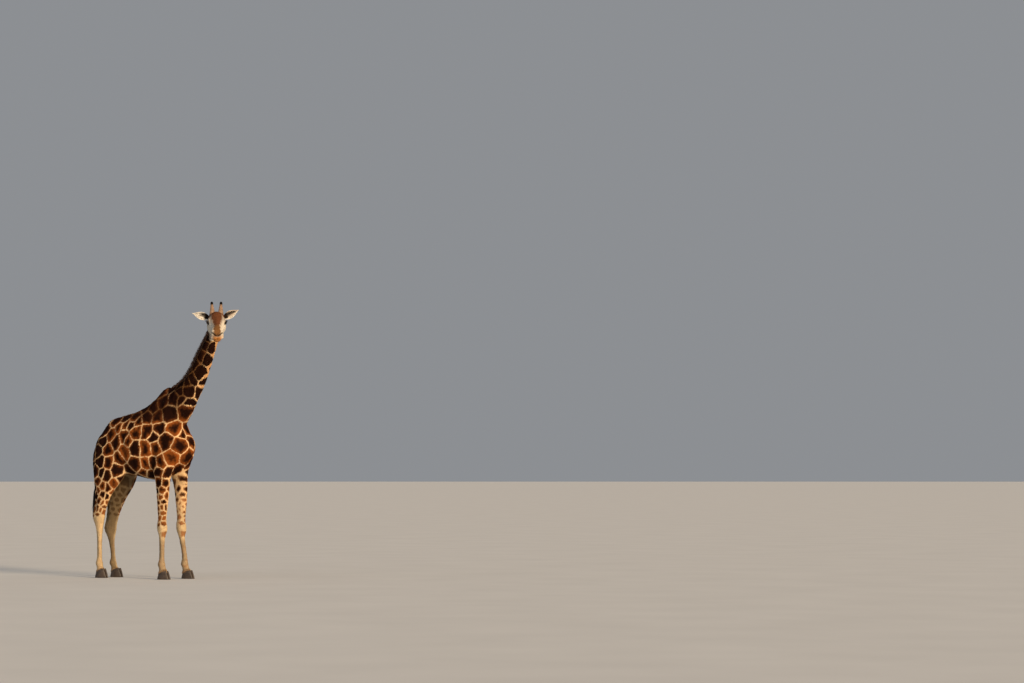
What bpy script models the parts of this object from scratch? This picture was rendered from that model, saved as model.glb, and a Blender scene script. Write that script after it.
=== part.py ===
"""A life-size giraffe, standing, its head turned to its right: solids for every named part of the body.

Metres, +Z up, +X the way the trunk faces, +Y the animal's left. The soles rest on the floor, z = 0.
The flesh is lofted from tables of body sizes, joined into one skin and parted again with thin cuts.
"""
import math

import bmesh
import bpy
import numpy as np
from mathutils import Matrix, Vector

# ---------------------------------------------------------------- driving sizes
GAP = 0.0004                 # clearance that parted and touching pieces keep
VOXEL = 0.014                # grid that joins the lofts into one flesh
FLESH_TRIANGLES = 4500       # the parted flesh, all nodes together
ORIGIN_SHIFT = Vector((-1.1194, 0.0952, 0.0))   # puts the origin under the middle of the whole animal

FORE_X = 1.24                # fore hooves ahead of the hind ones
RING = 28                    # points round a body section
SIDES = {"left": 1, "right": -1}

# Trunk by distance ahead of the hind hooves:
# x, top, bottom, half width, height of the widest line, roundness above, roundness below
TRUNK = (
    (-0.125, 1.90, 1.74, 0.030, 1.83, 2.0, 2.0),
    (-0.090, 1.99, 1.61, 0.100, 1.83, 2.0, 2.0),
    (-0.020, 2.12, 1.52, 0.165, 1.82, 1.8, 2.0),
    (0.060, 2.255, 1.47, 0.208, 1.83, 1.6, 2.1),
    (0.170, 2.320, 1.47, 0.232, 1.85, 1.5, 2.1),
    (0.300, 2.345, 1.49, 0.248, 1.87, 1.6, 2.1),
    (0.450, 2.378, 1.500, 0.272, 1.88, 1.7, 2.1),
    (0.620, 2.415, 1.475, 0.297, 1.88, 1.75, 2.1),
    (0.800, 2.492, 1.440, 0.303, 1.90, 1.7, 2.1),
    (0.950, 2.592, 1.420, 0.292, 1.93, 1.6, 2.0),
    (1.080, 2.712, 1.420, 0.272, 1.95, 1.45, 1.9),
    (1.200, 2.768, 1.450, 0.250, 1.95, 1.35, 1.8),
    (1.330, 2.660, 1.510, 0.225, 1.94, 1.35, 1.8),
    (1.440, 2.310, 1.590, 0.190, 1.92, 1.8, 1.9),
    (1.535, 2.060, 1.670, 0.150, 1.91, 2.0, 2.0),
    (1.605, 2.000, 1.780, 0.080, 1.90, 2.0, 2.0),
)

# Neck along its middle line: x, z, half depth to the crest, half depth to the throat, half width
NECK = (
    (1.100, 2.050, 0.480, 0.350, 0.190),
    (1.240, 2.310, 0.380, 0.262, 0.174),
    (1.400, 2.525, 0.262, 0.245, 0.160),
    (1.560, 2.720, 0.152, 0.200, 0.134),
    (1.715, 2.940, 0.118, 0.160, 0.114),
    (1.845, 3.180, 0.112, 0.132, 0.096),
    (1.952, 3.400, 0.088, 0.108, 0.084),
    (2.020, 3.545, 0.078, 0.098, 0.080),
    (2.052, 3.640, 0.070, 0.090, 0.078),
)

# Head from the poll to the lips, in its own frame:
# x, top, bottom, half width, height of the widest line, roundness above, roundness below
HEAD = (
    (-0.060, 0.060, -0.045, 0.035, 0.010, 2.0, 2.0),
    (-0.030, 0.095, -0.100, 0.078, 0.010, 2.0, 2.1),
    (0.022, 0.130, -0.148, 0.110, 0.010, 2.1, 2.3),
    (0.077, 0.154, -0.170, 0.126, 0.008, 2.1, 2.4),
    (0.132, 0.162, -0.170, 0.131, 0.006, 2.1, 2.4),
    (0.187, 0.156, -0.160, 0.129, 0.008, 2.2, 2.3),
    (0.240, 0.138, -0.148, 0.119, 0.006, 2.2, 2.2),
    (0.296, 0.114, -0.136, 0.104, 0.000, 2.2, 2.0),
    (0.355, 0.092, -0.126, 0.088, -0.014, 2.1, 2.0),
    (0.412, 0.074, -0.122, 0.080, -0.024, 2.1, 2.1),
    (0.473, 0.060, -0.126, 0.082, -0.032, 2.2, 2.2),
    (0.528, 0.048, -0.142, 0.092, -0.042, 2.3, 2.5),
    (0.578, 0.026, -0.150, 0.094, -0.050, 2.3, 2.5),
    (0.614, -0.004, -0.142, 0.083, -0.060, 2.2, 2.3),
    (0.640, -0.036, -0.112, 0.046, -0.070, 2.0, 2.0),
)
HEAD_AT = Vector((2.048, 0.000, 3.667))     # the poll, where the head frame sits
HEAD_YAW, HEAD_PITCH, HEAD_ROLL = math.radians(-50), math.radians(15.5), math.radians(0.5)

# Legs by height: z, back, front, inner side, outer side
FORE_LEG = (
    (2.520, -0.090, 0.010, 0.020, 0.085),
    (2.420, -0.140, 0.090, 0.020, 0.150),
    (2.220, -0.170, 0.185, 0.020, 0.212),
    (2.020, -0.180, 0.270, 0.020, 0.248),
    (1.890, -0.185, 0.300, 0.030, 0.262),
    (1.760, -0.190, 0.262, 0.045, 0.268),
    (1.630, -0.190, 0.195, 0.065, 0.270),
    (1.530, -0.172, 0.150, 0.088, 0.270),
    (1.420, -0.132, 0.128, 0.106, 0.272),
    (1.300, -0.104, 0.115, 0.120, 0.272),
    (1.180, -0.088, 0.102, 0.128, 0.268),
    (1.000, -0.072, 0.078, 0.140, 0.258),
    (0.880, -0.064, 0.062, 0.146, 0.250),
    (0.800, -0.074, 0.064, 0.141, 0.255),
    (0.740, -0.078, 0.074, 0.136, 0.261),
    (0.690, -0.068, 0.073, 0.138, 0.259),
    (0.630, -0.050, 0.052, 0.150, 0.247),
    (0.560, -0.044, 0.040, 0.160, 0.238),
    (0.420, -0.042, 0.034, 0.165, 0.234),
    (0.300, -0.046, 0.035, 0.165, 0.236),
    (0.245, -0.058, 0.041, 0.157, 0.244),
    (0.200, -0.062, 0.048, 0.152, 0.248),
    (0.150, -0.046, 0.062, 0.155, 0.246),
    (0.105, -0.044, 0.086, 0.148, 0.254),
    (0.040, -0.044, 0.100, 0.146, 0.256),
)
HIND_LEG = (
    (2.210, 0.050, 0.280, 0.020, 0.085),
    (2.120, 0.005, 0.370, 0.020, 0.150),
    (2.000, -0.052, 0.440, 0.020, 0.202),
    (1.850, -0.108, 0.490, 0.020, 0.238),
    (1.700, -0.118, 0.515, 0.022, 0.260),
    (1.570, -0.100, 0.512, 0.034, 0.266),
    (1.460, -0.085, 0.470, 0.052, 0.263),
    (1.350, -0.067, 0.378, 0.075, 0.254),
    (1.250, -0.047, 0.285, 0.092, 0.246),
    (1.120, -0.040, 0.202, 0.106, 0.236),
    (1.000, -0.056, 0.150, 0.115, 0.228),
    (0.930, -0.078, 0.132, 0.118, 0.226),
    (0.860, -0.074, 0.118, 0.117, 0.228),
    (0.780, -0.040, 0.103, 0.122, 0.223),
    (0.700, -0.018, 0.086, 0.128, 0.215),
    (0.600, -0.008, 0.075, 0.134, 0.207),
    (0.450, -0.004, 0.068, 0.137, 0.204),
    (0.300, -0.008, 0.070, 0.137, 0.206),
    (0.245, -0.020, 0.076, 0.130, 0.213),
    (0.200, -0.024, 0.084, 0.125, 0.218),
    (0.150, -0.008, 0.098, 0.128, 0.216),
    (0.105, -0.006, 0.122, 0.121, 0.224),
    (0.040, -0.006, 0.136, 0.119, 0.226),
)
LEG_ROUNDNESS = 2.15

# How each leg is set: height on the plain leg, height it stands at, shift ahead, shift outward
POSES = {
    "foreleg_right": ((0.00, 0.00, 0.000, -0.005), (0.25, 0.25, 0.000, -0.005), (0.72, 0.72, 0.000, 0.000),
                      (1.60, 1.60, 0.000, 0.000), (2.60, 2.60, 0.000, 0.000)),
    "foreleg_left": ((0.00, 0.00, 0.100, 0.020), (0.25, 0.25, 0.085, 0.015), (0.72, 0.72, 0.025, 0.000),
                     (1.60, 1.60, 0.000, 0.000), (2.60, 2.60, 0.000, 0.000)),
    "hindleg_right": ((0.00, 0.00, 0.000, -0.010), (0.25, 0.25, 0.000, -0.010), (0.86, 0.86, 0.000, 0.000),
                      (1.50, 1.50, 0.000, 0.000), (2.60, 2.60, 0.000, 0.000)),
    "hindleg_left": ((0.00, 0.00, 0.015, -0.020), (0.25, 0.245, -0.015, -0.015), (0.86, 0.675, -0.085, 0.010),
                     (1.50, 1.44, -0.050, 0.000), (2.10, 2.10, 0.000, 0.000), (2.60, 2.60, 0.000, 0.000)),
}
LEG_TABLES = {"foreleg": (FORE_LEG, FORE_X), "hindleg": (HIND_LEG, 0.0)}

# Ears, ossicones and eyes in the head's frame; the right side mirrors the left, but for the tips of the ears
EAR_ROOT = Vector((0.033, 0.108, 0.078))
EAR_TIPS = {"left": Vector((-0.020, 0.318, 0.168)), "right": Vector((-0.015, 0.342, 0.135))}
EAR_HALF_WIDTH, EAR_CUP, EAR_WALL = 0.054, 0.036, 0.007
OSSICONE_ROOT, OSSICONE_TIP = Vector((0.088, 0.056, 0.115)), Vector((-0.005, 0.067, 0.304))
OSSICONE_SIZES = ((0.00, 0.040), (0.25, 0.034), (0.50, 0.026), (0.75, 0.021), (0.90, 0.024), (0.97, 0.021), (1.0, 0.010))
EYE_AT, EYE_RADIUS = Vector((0.198, 0.113, 0.050)), 0.030
ORBIT_AT, ORBIT_RADII = Vector((0.190, 0.084, 0.052)), (0.070, 0.050, 0.054)

# Tail: x, z, half width; then its brush of long hair
TAIL = ((-0.015, 2.085, 0.050), (-0.095, 2.040, 0.044), (-0.165, 1.935, 0.033), (-0.195, 1.720, 0.026),
        (-0.198, 1.450, 0.022), (-0.196, 1.240, 0.020))
TAIL_BRUSH = ((-0.196, 1.300, 0.020), (-0.198, 1.220, 0.033), (-0.200, 1.080, 0.042), (-0.200, 0.940, 0.037),
              (-0.198, 0.850, 0.022), (-0.196, 0.800, 0.006))
BRUSH_STARTS = 1.285

# Upright mane on the crest of the neck: share of the neck's length, height over the flesh
MANE = ((0.26, 0.010), (0.34, 0.040), (0.50, 0.052), (0.70, 0.055), (0.86, 0.052), (0.96, 0.036), (1.00, 0.015))
MANE_HALF_THICKNESS = 0.017

# Hooves by height: z, back, front, half width
HOOF = ((0.000, -0.068, 0.128, 0.072), (0.030, -0.066, 0.116, 0.070), (0.070, -0.056, 0.096, 0.062),
        (0.110, -0.048, 0.078, 0.054), (0.140, -0.044, 0.066, 0.048))
HOOF_AHEAD = {"foreleg": 0.014, "hindleg": 0.052}   # hoof middle ahead of the leg's zero line
CORONET_HEIGHT, CORONET_SLOPE = 0.088, math.radians(14)
CLEFT_WIDTH, CLEFT_HEIGHT = 0.010, 0.075
SOLE_BLOCK = (0.5, 0.26, 0.30)              # takes away the leg below its coronet

# Thin cuts that part the flesh. On the legs: height, middle ahead of the hoof, breadth
FORE_CUTS = ((1.385, 0.00, 0.40), (0.635, 0.00, 0.20))
HIND_CUTS = ((1.385, 0.15, 0.66), (0.675, 0.05, 0.22))
LEG_CUT_MIDDLE, LEG_CUT_WIDTH = 0.175, 0.26
# Elsewhere: place, direction across the cut, size
TAIL_CUT = Vector((-0.193, 0.0, 1.760)), Vector((0.1, 0, 1)), (0.075, 0.075, GAP)
NECK_ROOT_CUT = Vector((1.430, 0, 2.585)), Vector((0.90, 0, 0.43)), (0.90, 0.62, GAP)
NECK_MIDDLE_CUT, HEAD_CUT = (0.56, 0.60), (0.84, 0.34)   # share of the neck's length, breadth


# ---------------------------------------------------------------- shaping tools
def spread(rows, steps):
    """Rows of a table, with steps - 1 more between each two, on smooth curves through the table's values."""
    rows = np.array(rows, float)
    along = np.linspace(0, len(rows) - 1, (len(rows) - 1) * steps + 1)
    slopes = np.gradient(rows, axis=0)
    low = np.minimum(along.astype(int), len(rows) - 2)
    t = (along - low)[:, None]
    start, end = rows[low], rows[low + 1]
    return (start * (1 + 2 * t) * (1 - t) ** 2 + slopes[low] * t * (1 - t) ** 2
            + end * t * t * (3 - 2 * t) + slopes[low + 1] * t * t * (t - 1))


def ring(centre, side, up, extents, roundness, count):
    """One section: a rounded outline in the plane of side and up, with its own reach to each of the four ways."""
    left, right, above, below = extents
    points = []
    for k in range(count):
        angle = 2 * math.pi * k / count
        c, s = math.cos(angle), math.sin(angle)
        power = 2 / (roundness[0] if s > 0 else roundness[1])
        across = math.copysign(abs(c) ** power, c) * (left if c > 0 else right)
        upward = math.copysign(abs(s) ** power, s) * (above if s > 0 else below)
        points.append(centre + side * across + up * upward)
    return points


def loft(name, rings):
    """A closed solid through rings of equally many points, with flat ends."""
    bm = bmesh.new()
    loops = [[bm.verts.new(p) for p in points] for points in rings]
    for one, two in zip(loops, loops[1:]):
        for k in range(len(one)):
            n = (k + 1) % len(one)
            bm.faces.new((one[k], one[n], two[n], two[k]))
    bm.faces.new(loops[0])
    bm.faces.new(loops[-1])
    return object_from(name, bm)


def object_from(name, bm):
    bmesh.ops.recalc_face_normals(bm, faces=bm.faces)
    mesh = bpy.data.meshes.new(name)
    bm.to_mesh(mesh)
    bm.free()
    obj = bpy.data.objects.new(name, mesh)
    solids.objects.link(obj)
    return obj


def apply_modifiers(obj):
    """The object's modifiers made part of its mesh."""
    graph = bpy.context.evaluated_depsgraph_get()
    shaped = bpy.data.meshes.new_from_object(obj.evaluated_get(graph))
    obj.modifiers.clear()
    obj.data = shaped
    return obj


def boolean(obj, other, operation):
    """obj joined with, or cut by, other, which is used up."""
    step = obj.modifiers.new(operation.title(), "BOOLEAN")
    step.operation, step.object = operation, other
    apply_modifiers(obj)
    bpy.data.objects.remove(other)
    return obj


def swollen(obj):
    """A copy of obj grown by the clearance, to cut its neighbours with."""
    copy = obj.copy()
    copy.data = obj.data.copy()
    solids.objects.link(copy)
    grow = copy.modifiers.new("Grow", "DISPLACE")
    grow.strength, grow.mid_level = GAP, 0.0
    return apply_modifiers(copy)


def block(name, place, direction, size):
    """A box at place with its local z along direction: the cutters are made of these."""
    bpy.ops.mesh.primitive_cube_add(size=1)
    obj = bpy.context.object
    obj.name = name
    turn = Vector(direction).to_track_quat("Z", "Y").to_matrix().to_4x4()
    obj.data.transform(Matrix.Translation(place) @ turn @ Matrix.Diagonal((*size, 1)))
    for group in list(obj.users_collection):
        group.objects.unlink(obj)
    solids.objects.link(obj)
    return obj


def ball(name, place, radii, segments=16, rings=10):
    bpy.ops.mesh.primitive_uv_sphere_add(segments=segments, ring_count=rings, radius=1)
    obj = bpy.context.object
    obj.name = name
    obj.data.transform(Matrix.Translation(place) @ Matrix.Diagonal((*radii, 1)))
    for group in list(obj.users_collection):
        group.objects.unlink(obj)
    solids.objects.link(obj)
    return obj


def painted(obj, material):
    obj.data.materials.clear()
    obj.data.materials.append(material)
    return obj


def material(name, colour, roughness):
    made = bpy.data.materials.new(name)
    made.use_nodes = True
    shader = made.node_tree.nodes["Principled BSDF"]
    shader.inputs["Base Color"].default_value = (*colour, 1)
    shader.inputs["Roughness"].default_value = roughness
    return made


# ---------------------------------------------------------------- body forms
def head_matrix():
    """The head's frame: nose along its x, turned to the animal's right and a little down."""
    turn = (Matrix.Rotation(HEAD_YAW, 4, "Z") @ Matrix.Rotation(HEAD_PITCH, 4, "Y")
            @ Matrix.Rotation(HEAD_ROLL, 4, "X"))
    return Matrix.Translation(HEAD_AT) @ turn


def trunk_form():
    rings = []
    for x, top, bottom, half, wide, above, below in spread(TRUNK, 3):
        rings.append(ring(Vector((x, 0, wide)), Vector((0, 1, 0)), Vector((0, 0, 1)),
                          (half, half, top - wide, wide - bottom), (above, below), RING))
    return loft("trunk_form", rings)


def neck_line():
    """(points, directions, rows) along the neck's middle, from inside the chest to the poll."""
    rows = spread(NECK, 4)
    points = [Vector((r[0], 0, r[1])) for r in rows]
    directions = [(points[min(i + 1, len(points) - 1)] - points[max(i - 1, 0)]).normalized()
                  for i in range(len(points))]
    return points, directions, rows


def neck_form():
    rings = []
    for point, direction, row in zip(*neck_line()):
        crest = Vector((0, 1, 0)).cross(direction) * -1
        rings.append(ring(point, Vector((0, 1, 0)), crest, (row[4], row[4], row[2], row[3]), (1.9, 2.1), RING))
    return loft("neck_form", rings)


def head_form():
    rings = []
    for x, top, bottom, half, wide, above, below in spread(HEAD, 3):
        rings.append(ring(Vector((x, 0, wide)), Vector((0, 1, 0)), Vector((0, 0, 1)),
                          (half, half, top - wide, wide - bottom), (above, below), RING))
    form = loft("head_form", rings)
    for sign in SIDES.values():
        orbit = ball("orbit", ORBIT_AT * Vector((1, sign, 1)), ORBIT_RADII)
        boolean(form, orbit, "UNION")
    form.data.transform(head_matrix())
    return form


def posed(name, point):
    """A point of the plain leg, carried to where that leg stands."""
    table = POSES[name]
    z = point.z
    row = next(i for i in range(len(table) - 1) if z <= table[i + 1][0] or i == len(table) - 2)
    low, high = table[row], table[row + 1]
    t = (z - low[0]) / (high[0] - low[0])
    ease = t * t * (3 - 2 * t)
    ahead = low[2] + (high[2] - low[2]) * ease
    outward = low[3] + (high[3] - low[3]) * ease
    height = low[1] + (high[1] - low[1]) * t
    side = -1 if name.endswith("right") else 1
    return Vector((point.x + ahead, side * (point.y + outward), height))


def leg_form(name):
    table, foot_x = LEG_TABLES[name.split("_")[0]]
    rings = []
    for z, back, front, inner, outer in spread(table, 3):
        middle = Vector((foot_x + (back + front) / 2, (inner + outer) / 2, z))
        half_long, half_wide = (front - back) / 2, (outer - inner) / 2
        plain = ring(middle, Vector((1, 0, 0)), Vector((0, 1, 0)),
                     (half_long, half_long, half_wide, half_wide), (LEG_ROUNDNESS,) * 2, RING)
        rings.append([posed(name, p) for p in plain])
    return loft(name + "_form", rings)


def tube(name, rows, steps, roundness=(2, 2), flat=1.0):
    """A round form along points in the middle plane: x, z, half width."""
    rows = spread(rows, steps)
    points = [Vector((x, 0, z)) for x, z, _ in rows]
    rings = []
    for i, point in enumerate(points):
        direction = (points[min(i + 1, len(points) - 1)] - points[max(i - 1, 0)]).normalized()
        up = direction.cross(Vector((0, 1, 0)))
        r = rows[i][2]
        rings.append(ring(point, Vector((0, 1, 0)), up, (r * flat, r * flat, r, r), roundness, 12))
    return loft(name, rings)


def flesh_form():
    """Every fleshy form in one closed skin, its joins eased, and thinned to few faces."""
    flesh = trunk_form()
    others = [neck_form(), head_form(), tube("tail_form", TAIL, 3)] + [leg_form(name) for name in POSES]
    with bpy.context.temp_override(active_object=flesh, selected_editable_objects=[flesh, *others]):
        bpy.ops.object.join()
    remesh = flesh.modifiers.new("Join", "REMESH")
    remesh.mode, remesh.voxel_size = "VOXEL", VOXEL
    apply_modifiers(flesh)
    ease_joins(flesh)
    thin = flesh.modifiers.new("Thin", "DECIMATE")
    thin.ratio = FLESH_TRIANGLES / (2 * len(flesh.data.polygons))
    thin.use_collapse_triangulate = True
    return apply_modifiers(flesh)


def ease_joins(flesh):
    """Smooths the skin: most where limbs and neck meet the trunk, little on the head and the shanks."""
    bm = bmesh.new()
    bm.from_mesh(flesh.data)
    bm.verts.ensure_lookup_table()
    height = np.array([v.co.z for v in bm.verts])
    ahead = np.array([v.co.x for v in bm.verts])
    strength = np.clip((height - 1.15) / 0.35, 0.12, 1)
    strength = np.where((height > 3.2), np.clip((3.6 - height) / 0.4, 0.15, 1), strength)
    strength = np.where(ahead < -0.17, 0.15, strength)
    rounds = np.round(strength * 14)
    for turn in range(14):
        chosen = [v for v, n in zip(bm.verts, rounds) if n > turn]
        bmesh.ops.smooth_vert(bm, verts=chosen, factor=0.5, use_axis_x=True, use_axis_y=True, use_axis_z=True)
    bm.to_mesh(flesh.data)
    bm.free()


# ---------------------------------------------------------------- parting the flesh
def neck_cut(share, breadth):
    """Place, direction and size of a thin cut square across the neck at a share of its length."""
    points, directions, _ = neck_line()
    i = round(share * (len(points) - 1))
    return points[i], directions[i], (breadth, breadth, GAP)


def leg_cuts():
    for name in POSES:
        foot_x = LEG_TABLES[name.split("_")[0]][1]
        for height, ahead, breadth in FORE_CUTS if name.startswith("fore") else HIND_CUTS:
            middle = posed(name, Vector((foot_x + ahead, LEG_CUT_MIDDLE, height)))
            yield middle, Vector((0, 0, 1)), (breadth, LEG_CUT_WIDTH, GAP)


def part_flesh(flesh):
    """The flesh cut apart with thin cuts, as separate pieces."""
    places = [neck_cut(*HEAD_CUT), neck_cut(*NECK_MIDDLE_CUT), NECK_ROOT_CUT, TAIL_CUT, *leg_cuts()]
    cutters = [block(f"cut_{i}", *place) for i, place in enumerate(places)]
    with bpy.context.temp_override(active_object=cutters[0], selected_editable_objects=cutters):
        bpy.ops.object.join()
    return loose_pieces(boolean(flesh, cutters[0], "DIFFERENCE"))


def loose_pieces(obj):
    """obj's separate bodies as objects of their own, largest first; obj is used up."""
    bm = bmesh.new()
    bm.from_mesh(obj.data)
    islands, seen = [], set()
    for start in bm.verts:
        if start in seen:
            continue
        island, front = {start}, [start]
        while front:
            for edge in front.pop().link_edges:
                for v in edge.verts:
                    if v not in island:
                        island.add(v)
                        front.append(v)
        seen |= island
        islands.append(island)
    islands.sort(key=len, reverse=True)
    made = []
    for island in islands:
        part = bmesh.new()
        new = {v: part.verts.new(v.co) for v in sorted(island, key=lambda v: v.index)}
        for face in bm.faces:
            if face.verts[0] in island:
                part.faces.new([new[v] for v in face.verts])
        made.append(object_from("piece", part))
    bm.free()
    bpy.data.objects.remove(obj)
    return made


def node_name(piece):
    """The name of a parted piece, from where its middle lies."""
    corners = [Vector(c) for c in piece.bound_box]
    middle = sum(corners, Vector()) / 8
    if middle.z > 3.5:
        return "head"
    if middle.z > 3.1:
        return "neck_upper"
    if middle.x > 1.4 and middle.z > 2.4:
        return "neck_lower"
    if middle.x < -0.15 and middle.z > 1.3:
        return "tail"
    if middle.z > 1.5:
        return "trunk"
    leg = "foreleg" if middle.x > 0.7 else "hindleg"
    side = "left" if middle.y > 0 else "right"
    part = "upper" if middle.z > 0.7 else "shank" if middle.z > 0.2 else "foot"
    return f"{leg}_{side}_{part}"


# ---------------------------------------------------------------- pieces that join the flesh
def ear(name, side):
    """A leaf-shaped cup, rolled to a stalk at its root and open to the front."""
    bm = bmesh.new()
    long_axis = EAR_TIPS[side] - EAR_ROOT
    outward = long_axis.normalized()
    forward = Vector((1, 0.15, 0.10))
    forward = (forward - outward * forward.dot(outward)).normalized()
    across = outward.cross(forward)
    rows, columns = 10, 7
    grid = []
    for i in range(rows):
        u = i / (rows - 1)
        half = EAR_HALF_WIDTH * (0.34 + 0.66 * math.sin(math.pi * min(1, u * 1.05) ** 0.85)) * (1 - u ** 5) + 0.002
        curl = 1.75 - 1.05 * u
        line = []
        for j in range(columns):
            v = -1 + 2 * j / (columns - 1)
            angle = v * curl
            place = EAR_ROOT + long_axis * u
            place += across * half * math.sin(angle) / math.sin(min(curl, math.pi / 2))
            place -= forward * half * (math.cos(angle) - math.cos(curl)) * EAR_CUP / EAR_HALF_WIDTH
            place.y *= SIDES[side]
            line.append(bm.verts.new(place))
        grid.append(line)
    for one, two in zip(grid, grid[1:]):
        for j in range(columns - 1):
            bm.faces.new((one[j], one[j + 1], two[j + 1], two[j]))
    obj = object_from(name, bm)
    wall = obj.modifiers.new("Wall", "SOLIDIFY")
    wall.thickness, wall.offset = EAR_WALL, 0
    apply_modifiers(obj)
    obj.data.transform(head_matrix())
    return obj


def ossicone(name, side):
    """A tapered horn with a slightly swollen end."""
    root, tip = OSSICONE_ROOT.copy(), OSSICONE_TIP.copy()
    root.y *= SIDES[side]
    tip.y *= SIDES[side]
    axis = (tip - root).normalized()
    across = axis.cross(Vector((1, 0, 0))).normalized()
    rings = []
    for share, radius in spread(OSSICONE_SIZES, 2):
        place = root.lerp(tip, share)
        rings.append(ring(place, across, across.cross(axis), (radius,) * 4, (2, 2), 10))
    obj = loft(name, rings)
    obj.data.transform(head_matrix())
    return obj


def mane_form():
    """A thin upright ridge that follows the crest of the neck."""
    points, directions, rows = neck_line()
    rings = []
    for share, height in spread(MANE, 4):
        along = min(share, 0.999) * (len(points) - 1)
        i = int(along)
        t = along - i
        middle = points[i].lerp(points[i + 1], t)
        direction = directions[i].lerp(directions[i + 1], t)
        crest = Vector((0, 1, 0)).cross(direction).normalized() * -1
        flesh = rows[i][2] * (1 - t) + rows[i + 1][2] * t
        foot = middle + crest * (flesh - 0.040)
        rings.append(ring(foot, Vector((0, 1, 0)), crest,
                          (MANE_HALF_THICKNESS,) * 2 + (height + 0.040, 0.010), (2.6, 2), 10))
    return loft("mane", rings)


def hoof(name, leg):
    """A cloven hoof: a low loft with a cleft cut up from the sole."""
    foot_x = LEG_TABLES[leg.split("_")[0]][1]
    ahead = HOOF_AHEAD[leg.split("_")[0]]
    table = LEG_TABLES[leg.split("_")[0]][0]
    centre_y = (table[-1][3] + table[-1][4]) / 2
    place = posed(leg, Vector((foot_x + ahead, centre_y, 0)))
    rings = []
    for z, back, front, half in spread(HOOF, 2):
        middle = Vector((place.x + (back + front) / 2, place.y, z))
        reach = (front - back) / 2
        rings.append(ring(middle, Vector((1, 0, 0)), Vector((0, 1, 0)), (reach, reach, half, half), (2.3, 2.3), 16))
    obj = loft(name, rings)
    cleft = block("cleft", (place.x + 0.085, place.y, CLEFT_HEIGHT / 2 - 0.05), (0, 0, 1),
                  (0.150, CLEFT_WIDTH, CLEFT_HEIGHT + 0.10))
    boolean(obj, cleft, "DIFFERENCE")
    bisected(obj, coronet_place(leg, -GAP / 2), coronet_direction(), keep_above=False)
    return obj


def coronet_place(leg, lift):
    foot_x = LEG_TABLES[leg.split("_")[0]][1]
    return posed(leg, Vector((foot_x + 0.02, 0.18, 0))) + Vector((0, 0, CORONET_HEIGHT + lift))


def coronet_direction():
    return Vector((-math.sin(CORONET_SLOPE), 0, math.cos(CORONET_SLOPE)))


def bisected(obj, place, direction, keep_above):
    """obj cut by a plane, one side kept and closed."""
    bm = bmesh.new()
    bm.from_mesh(obj.data)
    cut = bmesh.ops.bisect_plane(bm, geom=bm.verts[:] + bm.edges[:] + bm.faces[:], plane_co=place, plane_no=direction,
                                 clear_outer=not keep_above, clear_inner=keep_above)
    edges = [e for e in cut["geom_cut"] if isinstance(e, bmesh.types.BMEdge)]
    bmesh.ops.edgeloop_fill(bm, edges=edges)
    bmesh.ops.recalc_face_normals(bm, faces=bm.faces)
    bm.to_mesh(obj.data)
    bm.free()
    return obj


def build():
    coat = material("short coat", (0.42, 0.22, 0.10), 0.85)
    cream = material("cream coat", (0.78, 0.62, 0.42), 0.85)
    dark = material("dark hair", (0.05, 0.03, 0.02), 0.8)
    horn = material("hoof horn", (0.12, 0.09, 0.07), 0.5)
    eye_wet = material("wet eye", (0.02, 0.012, 0.01), 0.08)

    flesh = flesh_form()
    for leg in POSES:
        sole_middle = coronet_place(leg, GAP / 2) - coronet_direction() * SOLE_BLOCK[2] / 2
        sole = block("sole", sole_middle, coronet_direction(), SOLE_BLOCK)
        boolean(flesh, sole, "DIFFERENCE")
    tail_end = Vector((TAIL[-1][0], 0, BRUSH_STARTS + GAP - 0.10))
    boolean(flesh, block("tail_end", tail_end, (0, 0, 1), (0.12, 0.12, 0.20)), "DIFFERENCE")
    eyes = []
    for side, sign in SIDES.items():
        place = head_matrix() @ Vector((EYE_AT.x, sign * EYE_AT.y, EYE_AT.z))
        eyes.append(ball(f"eye_{side}", place, (EYE_RADIUS,) * 3, 12, 8))
        boolean(flesh, swollen(eyes[-1]), "DIFFERENCE")
    grown = swollen(flesh)

    for side in SIDES:
        for obj, finish in ((ear(f"ear_{side}", side), cream), (ossicone(f"ossicone_{side}", side), coat)):
            cutter = grown.copy()
            cutter.data = grown.data.copy()
            solids.objects.link(cutter)
            painted(boolean(obj, cutter, "DIFFERENCE"), finish)
    for obj in eyes:
        painted(obj, eye_wet)

    mane = boolean(mane_form(), grown, "DIFFERENCE")
    boolean(mane, block("mane_cut", *neck_cut(*NECK_MIDDLE_CUT)), "DIFFERENCE")
    for piece in loose_pieces(mane):
        middle = sum((Vector(c) for c in piece.bound_box), Vector()) / 8
        piece.name = "mane_upper" if middle.z > 3.15 else "mane_lower"
        painted(piece, dark)

    for piece in part_flesh(flesh):
        piece.name = node_name(piece)
        painted(piece, cream if piece.name.endswith("shank") else coat)
    for leg in POSES:
        painted(hoof(leg + "_hoof", leg), horn)
    brush = tube("tail_brush", TAIL_BRUSH, 1)
    painted(bisected(brush, Vector((0, 0, BRUSH_STARTS)), Vector((0, 0, 1)), keep_above=False), dark)

    for obj in solids.objects:
        obj.data.transform(Matrix.Translation(ORIGIN_SHIFT))


for old in list(bpy.data.objects):
    bpy.data.objects.remove(old)
solids = bpy.data.collections.new("giraffe")
bpy.context.scene.collection.children.link(solids)
build()
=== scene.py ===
"""A life-size giraffe, standing with its head turned: skin, coat, face, ears, horns, hooves, mane and tail.

Metres, +Z up, +X the way the trunk faces, +Y the animal's left. The soles rest on the floor, z = 0.
Shapes are numpy surfaces: a section carried along a path, or a formula over a grid of two parameters.
"""
import math

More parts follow.
